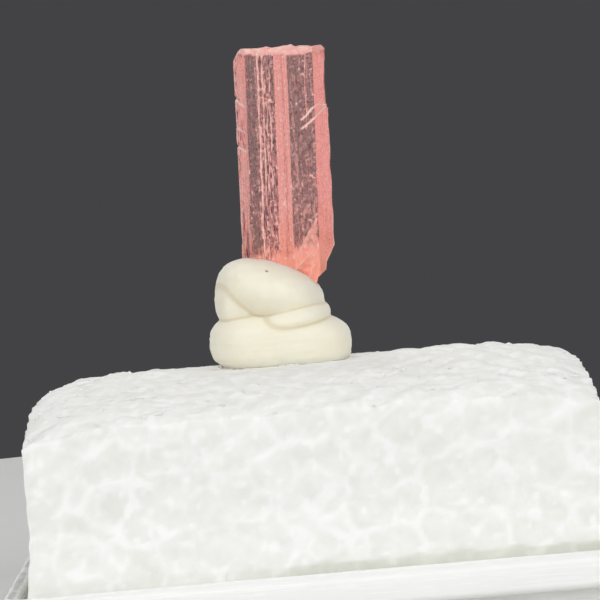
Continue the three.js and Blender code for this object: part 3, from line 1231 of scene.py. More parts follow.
@dataclass(frozen=True)
class Lobe:
    """A kneaded lobe of putty: an ellipsoid tilted in the front view, squarer for a higher power."""

    middle: Triple
    half: Triple
    tilt: float  # degrees, with its right end lower for a positive one
    power: float  # 2 for an ellipsoid

    def share(self, points: Array) -> Array:
        """Works out how far out in the lobe points lie.

        Args:
            points: the points.

        Returns:
            0 at the lobe's middle and 1 at its skin, for each point.
        """
        turn = math.radians(self.tilt)
        local = points - np.array(self.middle)
        across = local[:, 0] * math.cos(turn) - local[:, 2] * math.sin(turn)
        up = local[:, 0] * math.sin(turn) + local[:, 2] * math.cos(turn)
        total = np.abs(across / self.half[0]) ** self.power
        total += np.abs(local[:, 1] / self.half[1]) ** self.power
        total += np.abs(up / self.half[2]) ** self.power
        return total ** (1 / self.power)


@dataclass
class Putty:
    """The lump of mounting putty: a pressed roll with folds and knobs kneaded over it."""

    node: str = "mounting_putty"
    middle: Triple = (-1.1, 0.5, 14.6)
    lobes: tuple[Lobe, ...] = (
        Lobe((-1.22, 0.5, 13.15), (3.76, 3.05, 1.63), 4.5, 2.9),
        Lobe((-0.45, 0.05, 14.4), (2.02, 2.66, 0.76), -8, 2.3),
        Lobe((-3.28, 0.45, 15.55), (1.18, 2.1, 1.3), 0, 3),
        Lobe((-1.52, 0.0, 15.93), (2.86, 2.5, 1.6), 20, 2.1),
        Lobe((-1.3, 2.4, 16.5), (1.9, 1.3, 1.5), 8, 2),
    )
    blend: float = 22.0  # higher for sharper folds between the lobes
    crease_shade_width: float = 0.1  # width of the painted shade in a crease, as a difference of two lobes' shares
    reach: float = 6.0
    search_steps: int = 40
    halvings: int = 12
    columns: int = 380
    rows: int = 180
    dents: Noise = Noise(1.1, 0.05, 31)
    wrinkles: Noise = Noise(0.34, 0.02, 32)
    # Smears of the thumb run round the roll, and are weaker above it
    smears: Noise = Noise((1.6, 1.6, 0.13), 0.026, 33)
    smear_heights: Pair = (13.9, 15.1)
    smear_above: float = 0.35
    clearance: float = 0.02  # between the pressed pocket and the crystal's own shape
    least_fall: float = 1e-6  # keeps a level direction from dividing by 0

    def inside(self, points: Array) -> Array:
        """Whether each point lies in the putty."""
        near = sum(np.exp(self.blend * (1 - lobe.share(points))) for lobe in self.lobes)
        return near > 1

    def skin_distance(self, directions: Array) -> Array:
        """Searches for the putty's skin, inward from its reach and then by halving.

        Args:
            directions: the directions to search along, each 1 long.

        Returns:
            The distance from the putty's middle to its skin along each direction.
        """
        start = np.array(self.middle)
        outside = np.full(len(directions), self.reach)
        step = self.reach / self.search_steps
        searching = np.ones(len(directions), dtype=bool)
        for _ in range(self.search_steps):
            points = start + directions[searching] * (outside[searching] - step)[:, None]
            found = self.inside(points)
            numbers = np.flatnonzero(searching)
            outside[numbers[~found]] -= step
            searching[numbers[found]] = False
        low, high = outside - step, outside
        for _ in range(self.halvings):
            half_way = (low + high) / 2
            found = self.inside(start + directions * half_way[:, None])
            low = np.where(found, half_way, low)
            high = np.where(found, high, half_way)
        return low

    def relief(self, points: Array) -> Array:
        """Works out the dents, wrinkles and smears.

        Args:
            points: points on the smooth skin.

        Returns:
            How far each point moves out.
        """
        low = 1 - smoothstep(points[:, 2], *self.smear_heights)
        smeared = self.smear_above + (1 - self.smear_above) * low
        return self.dents.at(points) + self.wrinkles.at(points) + smeared * self.smears.at(points)

    def build(self, pocket: Piece) -> Piece:
        """Builds the putty.

        Args:
            pocket: the crystal's shape, which is pressed into the putty.

        Returns:
            The putty.
        """
        polar = np.linspace(math.pi, 0, self.rows + 1)[1:-1]
        around = np.linspace(0, 2 * math.pi, self.columns, endpoint=False)
        polar_grid, around_grid = np.meshgrid(polar, around, indexing="ij")
        directions = np.stack((
            np.sin(polar_grid) * np.cos(around_grid),
            np.sin(polar_grid) * np.sin(around_grid),
            np.cos(polar_grid),
        ), axis=2).reshape(-1, 3)
        directions = np.vstack((directions, (0, 0, -1), (0, 0, 1)))
        start = np.array(self.middle)
        distance = self.skin_distance(directions)
        rough = distance + self.relief(start + directions * distance[:, None])
        foot = low_corner(self.node).z
        falling = np.minimum(directions[:, 2], -self.least_fall)
        to_foam = np.where(directions[:, 2] < 0, (foot - start[2]) / falling, np.inf)
        reach = np.minimum(rough, to_foam)
        points = start + directions * reach[:, None]

        count = self.columns
        faces = tube_faces(len(polar), count, closed_ends=False)
        low_pole, high_pole = len(points) - 2, len(points) - 1
        last = (len(polar) - 1) * count
        for at in range(count):
            after = (at + 1) % count
            faces.append((after, at, low_pole))
            faces.append((last + at, last + after, high_pole))
        piece = make_piece("putty_kneaded", points, faces)
        cut(piece, pocket)
        paint(piece, "crease_shade", self.folds(points_of(piece)))
        finish_shape(piece, sharp_over=50)
        return piece

    def folds(self, points: Array) -> Array:
        """How deep in a crease between two lobes each point lies, from 0 to 1: where shade is painted."""
        shares = np.sort(np.stack([lobe.share(points) for lobe in self.lobes]), axis=0)
        return 1 - smoothstep(shares[1] - shares[0], 0, self.crease_shade_width)

    def dress(self, piece: Piece) -> None:
        """Gives the putty its finish and its place."""
        settle(piece, self.node, MountingPutty().material())


@dataclass(frozen=True)
class FaceGrowth:
    """What one kind of growth gives a face of the crystal."""

    streak: float  # height of the growth streaks
    speck: float  # height of the etched specks
    column: float  # width of the mesh's columns
    haze: float  # share of pale haze
    zone: float  # share of darker dashes
    even: float  # share of milk that lies evenly under the face


class Growth(Enum):
    """How a crystal face grew."""

    MOTTLED = FaceGrowth(0.016, 0.006, 0.05, 0.32, 1.0, 0.0)
    STRIATED = FaceGrowth(0.009, 0.005, 0.03, 0.38, 1.0, 0.0)
    ETCHED = FaceGrowth(0.003, 0.008, 0.03, 0.215, 0.5, 0.0)
    RIDGE = FaceGrowth(0.0015, 0.001, 0.05, 0.2, 0.04, 0.6)
    STRIPE = FaceGrowth(0.0015, 0.001, 0.05, 0.16, 0.25, 0.4)
    SMOOTH = FaceGrowth(0.0015, 0.001, 0.05, 0.1, 0.12, 0.06)
    PLAIN = FaceGrowth(0.004, 0.003, 0.08, 0.08, 0.3, 0.0)


@dataclass(frozen=True)
class Scatter:
    """How a broken place scatters light: its share of roughness, and of milk under it."""

    frost: float
    milk: float


class Clouding(Enum):
    """A kind of place where the crystal is broken and pale."""

    RIM = Scatter(1.0, 0.9)
    CRACK = Scatter(1.0, 0.95)
    LINE = Scatter(0.4, 0.6)
    CORNER = Scatter(0.8, 0.8)
    EDGE = Scatter(0.4, 0.75)
    CHIP = Scatter(0.5, 0.72)
    FOOT = Scatter(0.5, 0.8)


@dataclass(frozen=True)
class Groove:
    """A growth groove along the front: where, half its width, and between which heights."""

    across: float
    width: float
    low: float
    high: float


@dataclass(frozen=True)
class Crack:
    """A crack that opens at a side: its line from there as (across, height), and half its width."""

    line: tuple[Pair, ...]
    width: float = 0.06
    depth: float = 0.12


@dataclass(frozen=True)
class Chip:
    """A shell-shaped chip: a flat cone that hangs from its tip and goes deeper downwards."""

    tip: Triple
    length: float
    half: Pair  # half its width and half its depth at its foot
    tilt: float  # degrees in the front view
    pitch: float  # degrees into the front

    def turned(self) -> Matrix:
        """How the cone is turned from hanging straight down."""
        tilt = Matrix.Rotation(math.radians(self.tilt), 4, "Y")
        return tilt @ Matrix.Rotation(math.radians(-self.pitch), 4, "X")


@dataclass
class Crystal:
    """The crystal: a flattened, grooved prism with cracks, chips and a rough upper end.

    Heights are above its foot, across is to the right, and depth is negative towards the front.
    """

    node: str = "crystal"
    foot: Triple = (-0.45, 0.85, 15.2)
    length: float = 13.5
    spare: float = 1.0  # length that the rough end is cut from
    lean: float = 2.0
    drift: float = 0.18  # how far the front lies to the left at the foot, against the upper end
    front: float = -1.28  # depth of the front
    row: float = 0.065  # height of the mesh's rows
    # Each edge of the prism seen from above, as (across, depth), and the face that follows it
    edges: tuple[tuple[float, float, Growth], ...] = (
        (-2.44, -0.35, Growth.MOTTLED),
        (-1.8, -1.24, Growth.STRIATED),
        (-0.33, -1.3, Growth.RIDGE),
        (0.08, -1.49, Growth.STRIPE),
        (0.21, -1.43, Growth.RIDGE),
        (0.4, -1.3, Growth.ETCHED),
        (1.76, -1.22, Growth.SMOOTH),
        (2.46, -0.4, Growth.SMOOTH),
        (2.36, 0.45, Growth.PLAIN),
        (1.75, 1.3, Growth.PLAIN),
        (-2.15, 1.15, Growth.PLAIN),
        (-2.43, 0.4, Growth.PLAIN),
    )
    grooves: tuple[Groove, ...] = (
        Groove(-1.15, 0.065, 1, 14),
        Groove(-0.92, 0.05, 4.6, 14),
        Groove(-0.74, 0.035, 3.2, 11.8),
        Groove(-0.56, 0.04, 5.5, 12.6),
        Groove(1.32, 0.035, 8.6, 14),
    )
    cracks: tuple[Crack, ...] = (
        Crack(((2.65, 10.3), (2.31, 10.36), (1.92, 10.42), (1.53, 10.19), (1.25, 9.84), (1.0, 9.66)), 0.065),
        Crack(((2.65, 10.34), (2.33, 10.28), (1.89, 9.89), (1.5, 9.56), (1.28, 9.39), (1.02, 9.2))),
        Crack(((-2.7, 11.2), (-2.52, 11.06), (-2.25, 10.7), (-2.0, 10.5)), 0.085),
        Crack(((-2.7, 9.6), (-2.52, 9.48), (-2.0, 9.1)), 0.055, 0.04),
        Crack(((-2.7, 8.62), (-2.5, 8.47), (-2.02, 8.1)), 0.08, 0.1),
    )
    cut_depths: Pair = (-3.0, 3.0)  # between which the foot's break is cut
    foot_break: tuple[Pair, ...] = (
        (2.7, 3.4),
        (2.42, 2.95),
        (2.2, 2.5),
        (1.97, 2.08),
        (1.92, 1.68),
        (1.47, 1.3),
        (1.36, 0.9),
        (0.9, 0.45),
        (0.3, -0.2),
        (2.7, -0.2),
    )
    chips: tuple[Chip, ...] = (
        Chip((1.62, -1.25, 4.5), 1.9, (0.34, 0.22), 21, 4),
        Chip((1.35, -1.28, 2.6), 1.6, (0.5, 0.35), 33, 6),
    )
    chip_bluntness: float = 0.62  # 1 for a cone, less for a blunter tip
    ripple: float = 0.05
    ripples_down: float = 26.0
    ripples_bend: float = 2.0
    ripples_round: float = 3.0
    ripples_twist: float = 7.0
    chip_rings: int = 26
    chip_sides: int = 36
    chip_start: float = 0.01  # share of its length at which its first ring lies
    # Relief of the faces, which fades out towards the prism's edges
    wide_streaks: Noise = Noise((0.23, 5.0, 1), 0.5, 53)
    fine_streaks: Noise = Noise((0.105, 1.5, 1), 0.6, 54)
    short_streaks: Noise = Noise((0.1, 0.45, 1), 1.0, 55)
    short_between: Pair = (0.15, 0.7)
    short_share: float = 0.7
    coarse_specks: Noise = Noise((0.2, 0.26, 1), 0.8, 56)
    fine_specks: Noise = Noise((0.11, 0.14, 1), 0.8, 57)
    edge_clean: float = 0.1
    groove_share: float = 0.6  # depth of a groove as a share of half its width
    groove_wander: float = 0.015
    groove_bends: Pair = (2.1, 9.0)  # by the height, and by where the groove lies
    groove_fades: Pair = (0.8, 0.5)  # length over which its ends run out, low and high
    grooved_before: float = -1.0  # depth before which the grooves run
    cracked_before: float = 0.9
    notch_from: Pair = (2.2, 2.45)  # across from which a crack opens to its full depth
    notch_least: float = 0.3
    # Waves and a step of the two sides, and nicks along the prism's edges
    side_from: float = 2.0
    side_waves: Noise = Noise((3, 0.9, 1), 0.03, 63)
    step_from: float = 2.3
    step_depth: float = 0.14
    step_starts: Pair = (10.34, 10.5)
    step_fades: Pair = (11.6, 13.2)
    step_fade: float = 0.5
    nicks: Noise = Noise((0.7, 0.42, 1), 1.0, 59)
    nick_between: Pair = (0.3, 0.8)
    nick_depth: float = 0.035
    nick_reach: float = 0.16
    nicks_behind: float = -1.25
    # The rough upper end, rounded off to its edges, with mounds, a peak and a broken left corner
    end_cells: tuple[int, int, int] = (88, 56, 1)
    end_block: Pair = (6.0, 4.0)
    end_half: Pair = (2.5, 1.33)
    end_round: float = 0.36
    end_round_varies: float = 0.25
    end_ragged: Noise = Noise(0.5, 1.0, 60)
    end_ragged_height: float = 0.04
    end_grain: Noise = Noise(0.22, 0.03, 61)
    end_mound: float = 0.07
    mounds_across: float = 3.1
    mounds_deep: float = 2.7
    end_peak: float = 0.16
    end_peak_at: Pair = (0.62, -0.5)
    end_peak_reach: float = 0.6
    corner_from: float = 2.05  # how far to the left the broken corner starts
    corner_width: float = 0.45
    corner_fall: float = 0.55
    corner_curve: float = 1.3

    def ring(self, height: float, grow: float = 0.0) -> Array:
        """The prism's plain outline.

        Args:
            height: at which height.
            grow: how far each edge is moved out.

        Returns:
            Its points.
        """
        across, depth = np.array([edge[:2] for edge in self.edges]).T
        grown = self.shifted(across, depth, height) + grow * np.sign(across)
        return np.column_stack((grown, depth + grow * np.sign(depth), np.full(len(depth), height)))

    def core(self, grow: float) -> Piece:
        """Builds the plain prism with its broken foot, in the crystal's place.

        Args:
            grow: how far each of its sides is moved out.

        Returns:
            The closed prism.
        """
        top = self.length + self.spare
        rings = np.vstack((self.ring(0, grow) + (0, 0, -grow), self.ring(top, grow)))
        piece = make_piece("core", rings, tube_faces(2, len(self.edges)))
        outline = [(across + grow, height - grow) for across, height in self.foot_break]
        cut(piece, self.front_block(outline, *self.cut_depths))
        piece.data.transform(self.place())
        return piece

    def place(self) -> Matrix:
        """Where the crystal stands and how it leans, in millimetres."""
        return Matrix.Translation(self.foot) @ Matrix.Rotation(math.radians(self.lean), 4, "Y")

    def front_block(self, outline: Sequence[Pair], near: float, far: float) -> Piece:
        """A front-view outline as a block.

        Args:
            outline: its corners as (across, height).
            near: depth at which it starts.
            far: depth at which it ends.

        Returns:
            The closed block.
        """
        points = [(across, near, height) for across, height in outline]
        points += [(across, far, height) for across, height in outline]
        return make_piece("block", np.array(points), tube_faces(2, len(outline)))

    def shifted(self, across: Array, depth: Array, height: Array) -> Array:
        """Where the drift of the prism takes each place of its section at a height."""
        share = height / (self.length + self.spare)
        return across + self.drift * (1 - share) * depth / -self.front

    def section(self) -> Array:
        """Divides the prism's outline into the columns of its mesh.

        Returns:
            A row for each column: its across and depth, its way out as x and y, how far round the
            outline it lies, its heights of streaks and specks, and its distance to an edge.
        """
        parts = []
        travelled = 0.0
        for number, (across, depth, growth) in enumerate(self.edges):
            run = np.array(self.edges[(number + 1) % len(self.edges)][:2]) - (across, depth)
            width = np.linalg.norm(run)
            steps = max(3, round(width / growth.value.column))
            share = np.arange(steps) / steps
            parts.append(np.column_stack((
                across + share * run[0],
                depth + share * run[1],
                np.full(steps, run[1] / width),
                np.full(steps, -run[0] / width),
                travelled + share * width,
                np.full(steps, growth.value.streak),
                np.full(steps, growth.value.speck),
                np.minimum(share, 1 - share) * width,
            )))
            travelled += width
        return np.vstack(parts)

    def skin(self) -> Piece:
        """Builds the prism with its grooves, cracks, streaks and etched specks.

        Returns:
            The closed prism, with spare length at its upper end.
        """
        heights = np.arange(0, self.length + self.spare + self.row, self.row)
        section = self.section()
        height = np.repeat(heights, len(section))
        columns = np.tile(section, (len(heights), 1)).T
        plain, depth, out_x, out_y, along, streak, speck, to_edge = columns
        across = self.shifted(plain, depth, height)
        sheet = np.stack((along, height, np.zeros_like(height)), axis=1)
        inner = smoothstep(to_edge, 0, self.edge_clean)
        relief = inner * streak * self.streaks(sheet)
        relief += inner * speck * self.specks(sheet)
        relief -= (depth < self.grooved_before) * self.groove_depth(across, height)
        relief -= (depth < self.cracked_before) * self.crack_depth(np.stack((across, height), axis=1))
        relief += (np.abs(across) > self.side_from) * self.side_waves.at(sheet)
        relief -= (across > self.step_from) * self.step_in(height)
        nicks = smoothstep(self.nicks.at(sheet), *self.nick_between)
        nicks *= (1 - smoothstep(to_edge, 0, self.nick_reach)) * (depth > self.nicks_behind)
        relief -= self.nick_depth * nicks
        points = np.stack((across + out_x * relief, depth + out_y * relief, height), axis=1)
        return make_piece("crystal_grown", points, tube_faces(len(heights), len(section)))

    def streaks(self, sheet: Array) -> Array:
        """Works out the growth streaks along the height.

        Args:
            sheet: places on the unrolled faces.

        Returns:
            Each place's share of a streak's height, between about -1 and 1.
        """
        short = smoothstep(self.short_streaks.at(sheet), *self.short_between)
        return self.wide_streaks.at(sheet) + self.fine_streaks.at(sheet) - self.short_share * short

    def specks(self, sheet: Array) -> Array:
        """Etched specks, between about -1 and 1, on the unrolled faces."""
        return self.coarse_specks.at(sheet) + self.fine_specks.at(sheet)

    def step_in(self, height: Array) -> Array:
        """How far the right side steps in above its crack, and less again higher up."""
        fade = 1 - self.step_fade * smoothstep(height, *self.step_fades)
        return self.step_depth * smoothstep(height, *self.step_starts) * fade

    def groove_profile(self, across: Array, height: Array) -> Array:
        """Works out the shape of the grooves in the front.

        Args:
            across: the places' distance to the right.
            height: their height.

        Returns:
            What lies in a groove, as the share of the way to its middle times half its width.
        """
        across = across + self.drift * (1 - height / (self.length + self.spare))
        by_height, by_groove = self.groove_bends
        fade_low, fade_high = self.groove_fades
        profile = np.zeros_like(across)
        for groove in self.grooves:
            wander = self.groove_wander * np.sin(by_height * height + by_groove * groove.across)
            here = np.maximum(0, 1 - np.abs(across - groove.across - wander) / groove.width)
            ends = smoothstep(height, groove.low, groove.low + fade_low)
            ends *= 1 - smoothstep(height, groove.high - fade_high, groove.high)
            profile = np.maximum(profile, groove.width * here * ends)
        return profile

    def groove_depth(self, across: Array, height: Array) -> Array:
        """Depth of the grooves at each place of the front."""
        return self.groove_share * self.groove_profile(across, height)

    def crack_depth(self, flat: Array) -> Array:
        """Works out the depth of the cracks.

        Args:
            flat: the places as (across, height).

        Returns:
            The depth at each place, most at the sides, where the cracks open.
        """
        depth = np.zeros(len(flat))
        notch = self.notch_least + (1 - self.notch_least) * smoothstep(np.abs(flat[:, 0]), *self.notch_from)
        for crack in self.cracks:
            away = line_distance(flat, crack.line)
            depth = np.maximum(depth, crack.depth * notch * np.maximum(0, 1 - away / crack.width))
        return depth

    def corner_drop(self, across: Array) -> Array:
        """How far the broken left corner lies below the rest of the upper end."""
        share = np.clip((-across - self.corner_from) / self.corner_width, 0, 1)
        return self.corner_fall * share ** self.corner_curve

    def end_cutter(self) -> Piece:
        """Makes the block that cuts the upper end to its rough surface.

        Returns:
            The closed block.
        """
        unit, quads = box_shell(self.end_cells)
        across, depth = (size * (unit[:, axis] - 0.5) for axis, size in enumerate(self.end_block))
        to_edge = np.minimum(self.end_half[0] - np.abs(across), self.end_half[1] - np.abs(depth))
        flat = np.stack((across, depth, np.zeros_like(across)), axis=1)
        ragged = self.end_ragged.at(flat)
        off_round = 1 - np.clip(to_edge / self.end_round, 0, 1)
        bevel = self.end_round * (1 - np.sqrt(1 - off_round ** 2)) * (1 + self.end_round_varies * ragged)
        mounds = np.sin(self.mounds_across * across + 1) * np.cos(self.mounds_deep * depth + across)
        grain = self.end_grain.at(flat) + self.end_ragged_height * ragged
        away = np.hypot(across - self.end_peak_at[0], depth - self.end_peak_at[1])
        peak = self.end_peak * np.maximum(0, 1 - away / self.end_peak_reach)
        raised = self.end_mound * mounds + peak + grain
        surface = self.length + raised - bevel - self.corner_drop(across)
        height = np.where(unit[:, 2] == 0, surface, self.length + 2 * self.spare)
        return make_piece("end_cutter", np.stack((across, depth, height), axis=1), quads)

    def chip_cutter(self, chip: Chip) -> Piece:
        """Makes the flat rippled cone that takes out one chip.

        Args:
            chip: the chip.

        Returns:
            The closed cone.
        """
        share = np.linspace(self.chip_start, 1, self.chip_rings)
        angle = np.linspace(0, 2 * math.pi, self.chip_sides, endpoint=False)
        grid, turn = np.meshgrid(share, angle, indexing="ij")
        ripples = np.sin(self.ripples_down * grid + self.ripples_bend * np.cos(turn))
        ripples += np.sin(self.ripples_round * turn + self.ripples_twist * grid)
        spread = grid ** self.chip_bluntness * (1 + self.ripple * ripples)
        points = np.stack((
            chip.half[0] * spread * np.cos(turn),
            chip.half[1] * spread * np.sin(turn),
            -chip.length * grid,
        ), axis=2).reshape(-1, 3)
        piece = make_piece("chip_cutter", points, tube_faces(self.chip_rings, self.chip_sides))
        piece.data.transform(Matrix.Translation(chip.tip) @ chip.turned())
        return piece

    def build(self) -> Piece:
        """Builds the crystal.

        Returns:
            The crystal, painted with how it scatters light.
        """
        piece = self.skin()
        cut(piece, self.end_cutter())
        cut(piece, self.front_block(self.foot_break, *self.cut_depths))
        for chip in self.chips:
            cut(piece, self.chip_cutter(chip))
        for name, values in Scattering(self).shares(points_of(piece)).items():
            paint(piece, name, values)
        piece.data.transform(self.place())
        finish_shape(piece, sharp_over=28)
        return piece

    def dress(self, piece: Piece) -> None:
        """Gives the crystal its finish and its place."""
        settle(piece, self.node, Vayrynenite().material())


@dataclass
class Scattering:
    """Where the crystal scatters light, as shares that its material reads.

    Frost is the roughness of broken skin and milk is what scatters under it. Haze is the pale
    scatter of etched faces, pale turns milk paler in breaks and as painted highlights on the rim,
    and zone is where darker dashes lie.
    """

    crystal: Crystal
    ragged: Noise = Noise(0.4, 1.0, 62)
    # Cracks, the flecks between them on the front, and each chip with its front edge. Each pair
    # goes from none to full, and a negative one is minus the distance or the way out
    crack_paint: Pair = (-1.05, -0.55)  # in crack widths
    cracks_before: float = 0.6
    flecks: Noise = Noise((0.11, 0.11, 0.14), 1.0, 66)
    fleck_between: Pair = (0.58, 0.76)
    fleck_share: float = 0.8
    flecks_before: float = -1.2
    chip_edge_share: float = 0.35
    chip_inside: Pair = (-1.25, -1.08)  # in shares of the way out to the cone's surface
    chip_edge_outer: Pair = (-1.2, -1.08)
    chip_edge_inner: Pair = (0.92, 1.0)
    chip_edge_depth: Pair = (-1.16, -1.21)
    chip_least_down: float = 1e-3  # keeps the way out in the cone from dividing by 0 at its tip
    chip_floor: float = 0.8
    chip_varies: float = 0.4
    # Grooves, the pale edges of the sides, and the broken ends
    groove_line: Pair = (0.1, 0.4)  # in shares of the widest groove's depth
    lines_before: float = -1.0
    left_edge: Pair = (2.36, 2.43)
    right_edge: Pair = (2.28, 2.38)
    right_edge_heights: Pair = (3.5, 7.0)
    frosted_rim: float = 0.27  # how far the frost reaches down from the upper end
    rim_ragged: float = 0.2
    rim_fade: float = 0.08
    corner_paint: Pair = (-0.22, -0.05)
    # Behind this depth and to the right of this the foot is clear, so that light comes in there
    clear_behind: float = 0.2
    clear_right_of: float = 0.6
    right_side: Pair = (1.7, 1.95)
    milky_below: float = 2.85
    milky_slope: float = 0.24
    milky_ragged: float = 0.3
    milky_fade: float = 0.5
    right_clearer: float = 0.4
    # By face: the front between its bevels, with a clearer strip at its left
    front_faces: float = -0.25  # mean depth before which a face is seen from the front
    faces_reach: float = 0.1  # depth to which such a face's growth shows
    front_half: float = 1.76
    left_bevel: float = -1.8
    strip_starts: Pair = (-1.85, -1.75)
    strip_ends: Pair = (-1.4, -1.2)
    strip_less_haze: float = 0.7
    strip_less_zone: float = 0.6
    right_zone: float = 0.6
    broad_zones: Noise = Noise((0.21, 0.21, 1.5), 1.0, 65)
    broad_between: Pair = (-0.05, 0.35)
    left_zone: Pair = (0.3, 1.6)  # everywhere, and more in a broad zone
    upper_from: Pair = (6.0, 8.5)  # heights over which the darker zones get weaker
    upper_less_zone: float = 0.4
    lower_to: Pair = (4.0, 8.0)  # heights over which the haze of the lower part runs out
    lower_more_haze: float = 0.45
    lower_right_less_haze: float = 0.6
    bevel_mottle: Noise = Noise((0.42, 0.42, 0.8), 0.9, 67)
    milk_hides_zone: float = 0.9
    # Paler places
    pale_lines: float = 0.8
    pale_edges: float = 0.5
    pale_left: float = 0.4
    pale_left_of: float = -1.9
    pale_foot: float = 0.35
    pale_foot_from: Pair = (1.6, 2.0)
    # Painted highlights: spots of the pale colour along the frosted rim
    painted_rim_highlights: Noise = Noise(0.28, 0.9, 64)
    painted_rim_highlight_mean: float = 0.25

    def shares(self, points: Array) -> dict[str, Array]:
        """Works out every share that the material reads.

        Args:
            points: points in the crystal's own millimetres.

        Returns:
            One value for each point, by the share's name.
        """
        places = self.clouded(points)
        frost = np.max([kind.value.frost * share for kind, share in places.items()], axis=0)
        broken = np.max([kind.value.milk * share for kind, share in places.items()], axis=0)
        haze, zone, even = self.by_face(points)
        zone = zone * (1 - self.milk_hides_zone * broken) * (1 - places[Clouding.CRACK])
        # painted highlights in spots along the rim
        rim_highlighted = np.clip(self.painted_rim_highlight_mean + self.painted_rim_highlights.at(points), 0, 1)
        pale = np.max([
            places[Clouding.CRACK],
            self.pale_lines * places[Clouding.LINE],
            self.pale_edges * places[Clouding.EDGE],
            self.pale_left * (points[:, 0] < self.pale_left_of),
            self.pale_foot * places[Clouding.FOOT] * smoothstep(points[:, 0], *self.pale_foot_from),
            rim_highlighted * places[Clouding.RIM],
        ], axis=0)
        return {"frost": frost, "milk": np.maximum(broken, even), "pale": pale, "haze": haze, "zone": zone}

    def clouded(self, points: Array) -> dict[Clouding, Array]:
        """Finds the broken, pale places.

        Args:
            points: points in the crystal's own millimetres.

        Returns:
            For each kind of place, the share to which each point lies in one, from 0 to 1.
        """
        crystal = self.crystal
        across, depth, height = points.T
        flat = points[:, [0, 2]]
        ragged = self.ragged.at(points)
        cracked, chipped, chip_edge = np.zeros((3, len(points)))
        for crack in crystal.cracks:
            none, full = self.crack_paint
            near = smoothstep(-line_distance(flat, crack.line), none * crack.width, full * crack.width)
            cracked = np.maximum(cracked, near * (depth < self.cracks_before))
        for chip in crystal.chips:
            within, edge = self.in_chip(points, chip)
            chipped, chip_edge = np.maximum(chipped, within), np.maximum(chip_edge, edge)
        flecks = smoothstep(self.flecks.at(points), *self.fleck_between) * (depth < self.flecks_before)
        bright_breaks = np.max([cracked, self.chip_edge_share * chip_edge, self.fleck_share * flecks], axis=0)
        lined = crystal.groove_profile(across, height) / crystal.grooves[0].width
        from_end = height + crystal.corner_drop(across) - crystal.length
        to_rim = from_end + self.frosted_rim + self.rim_ragged * ragged
        from_break = line_distance(flat, crystal.foot_break[:-1])
        edged = smoothstep(-across, *self.left_edge)
        edged += smoothstep(across, *self.right_edge) * (1 - smoothstep(height, *self.right_edge_heights))
        uneven = self.chip_floor + self.chip_varies * ragged
        return {
            Clouding.RIM: smoothstep(to_rim, -self.rim_fade, self.rim_fade),
            Clouding.CRACK: bright_breaks,
            Clouding.LINE: smoothstep(lined, *self.groove_line) * (depth < self.lines_before),
            Clouding.CORNER: smoothstep(-from_break, *self.corner_paint) * (depth < self.clear_behind),
            Clouding.EDGE: np.clip(edged, 0, 1) * (depth < 0) * uneven,
            Clouding.CHIP: chipped * np.clip(uneven, 0, 1),
            Clouding.FOOT: self.milky_foot(points, ragged),
        }

    def milky_foot(self, points: Array, ragged: Array) -> Array:
        """Works out how milky the crystal is near its foot.

        Args:
            points: points in the crystal's own millimetres.
            ragged: how ragged the milk's border is at each.

        Returns:
            The milky share at each point, from 0 to 1.
        """
        across, depth, height = points.T
        border = self.milky_below + self.milky_slope * across + self.milky_ragged * ragged
        right_side = smoothstep(across, *self.right_side)
        fade = self.milky_fade * (1 + right_side)
        lit_from_behind = (depth > self.clear_behind) & (across > self.clear_right_of)
        left_over = np.where(lit_from_behind, 0, 1 - self.right_clearer * right_side)
        return smoothstep(border - height, -fade, fade) * left_over

    def by_face(self, points: Array) -> tuple[Array, Array, Array]:
        """Works out what each face's growth gives.

        Args:
            points: points in the crystal's own millimetres.

        Returns:
            Shares of haze, of darker dashes and of even milk at each point.
        """
        crystal = self.crystal
        across, depth, height = points.T
        across = 2 * across - crystal.shifted(across, depth, height)
        plain = Growth.PLAIN.value
        haze, zone, even = (np.full(len(points), share) for share in (plain.haze, plain.zone, plain.even))
        for start, end in itertools.pairwise(crystal.edges):
            if (start[1] + end[1]) / 2 < self.front_faces:
                on_face = (across >= start[0]) & (across < end[0]) & (depth < self.faces_reach)
                haze[on_face], zone[on_face] = start[2].value.haze, start[2].value.zone
                even[on_face] = start[2].value.even
        strip = smoothstep(across, *self.strip_starts) * (1 - smoothstep(across, *self.strip_ends))
        strip *= depth < 0
        on_front = np.abs(across) < self.front_half
        on_bevel = np.abs(across) > self.front_half
        on_right = across > self.front_half
        upper = smoothstep(height, *self.upper_from)
        lower = 1 - smoothstep(height, *self.lower_to)
        broad = smoothstep(self.broad_zones.at(points), *self.broad_between)
        everywhere, more = self.left_zone
        left_zone = (everywhere + more * broad) * (1 - self.upper_less_zone * upper)
        zone *= np.where(across < self.left_bevel, left_zone, 1)
        zone *= (1 - self.strip_less_zone * strip) * np.where(on_right | (depth > 0), self.right_zone, 1)
        haze *= 1 + self.lower_more_haze * lower * on_front
        haze *= 1 - self.lower_right_less_haze * lower * on_right
        haze *= (1 - self.strip_less_haze * strip) * (1 + self.bevel_mottle.at(points) * on_bevel)
        return haze, zone, even

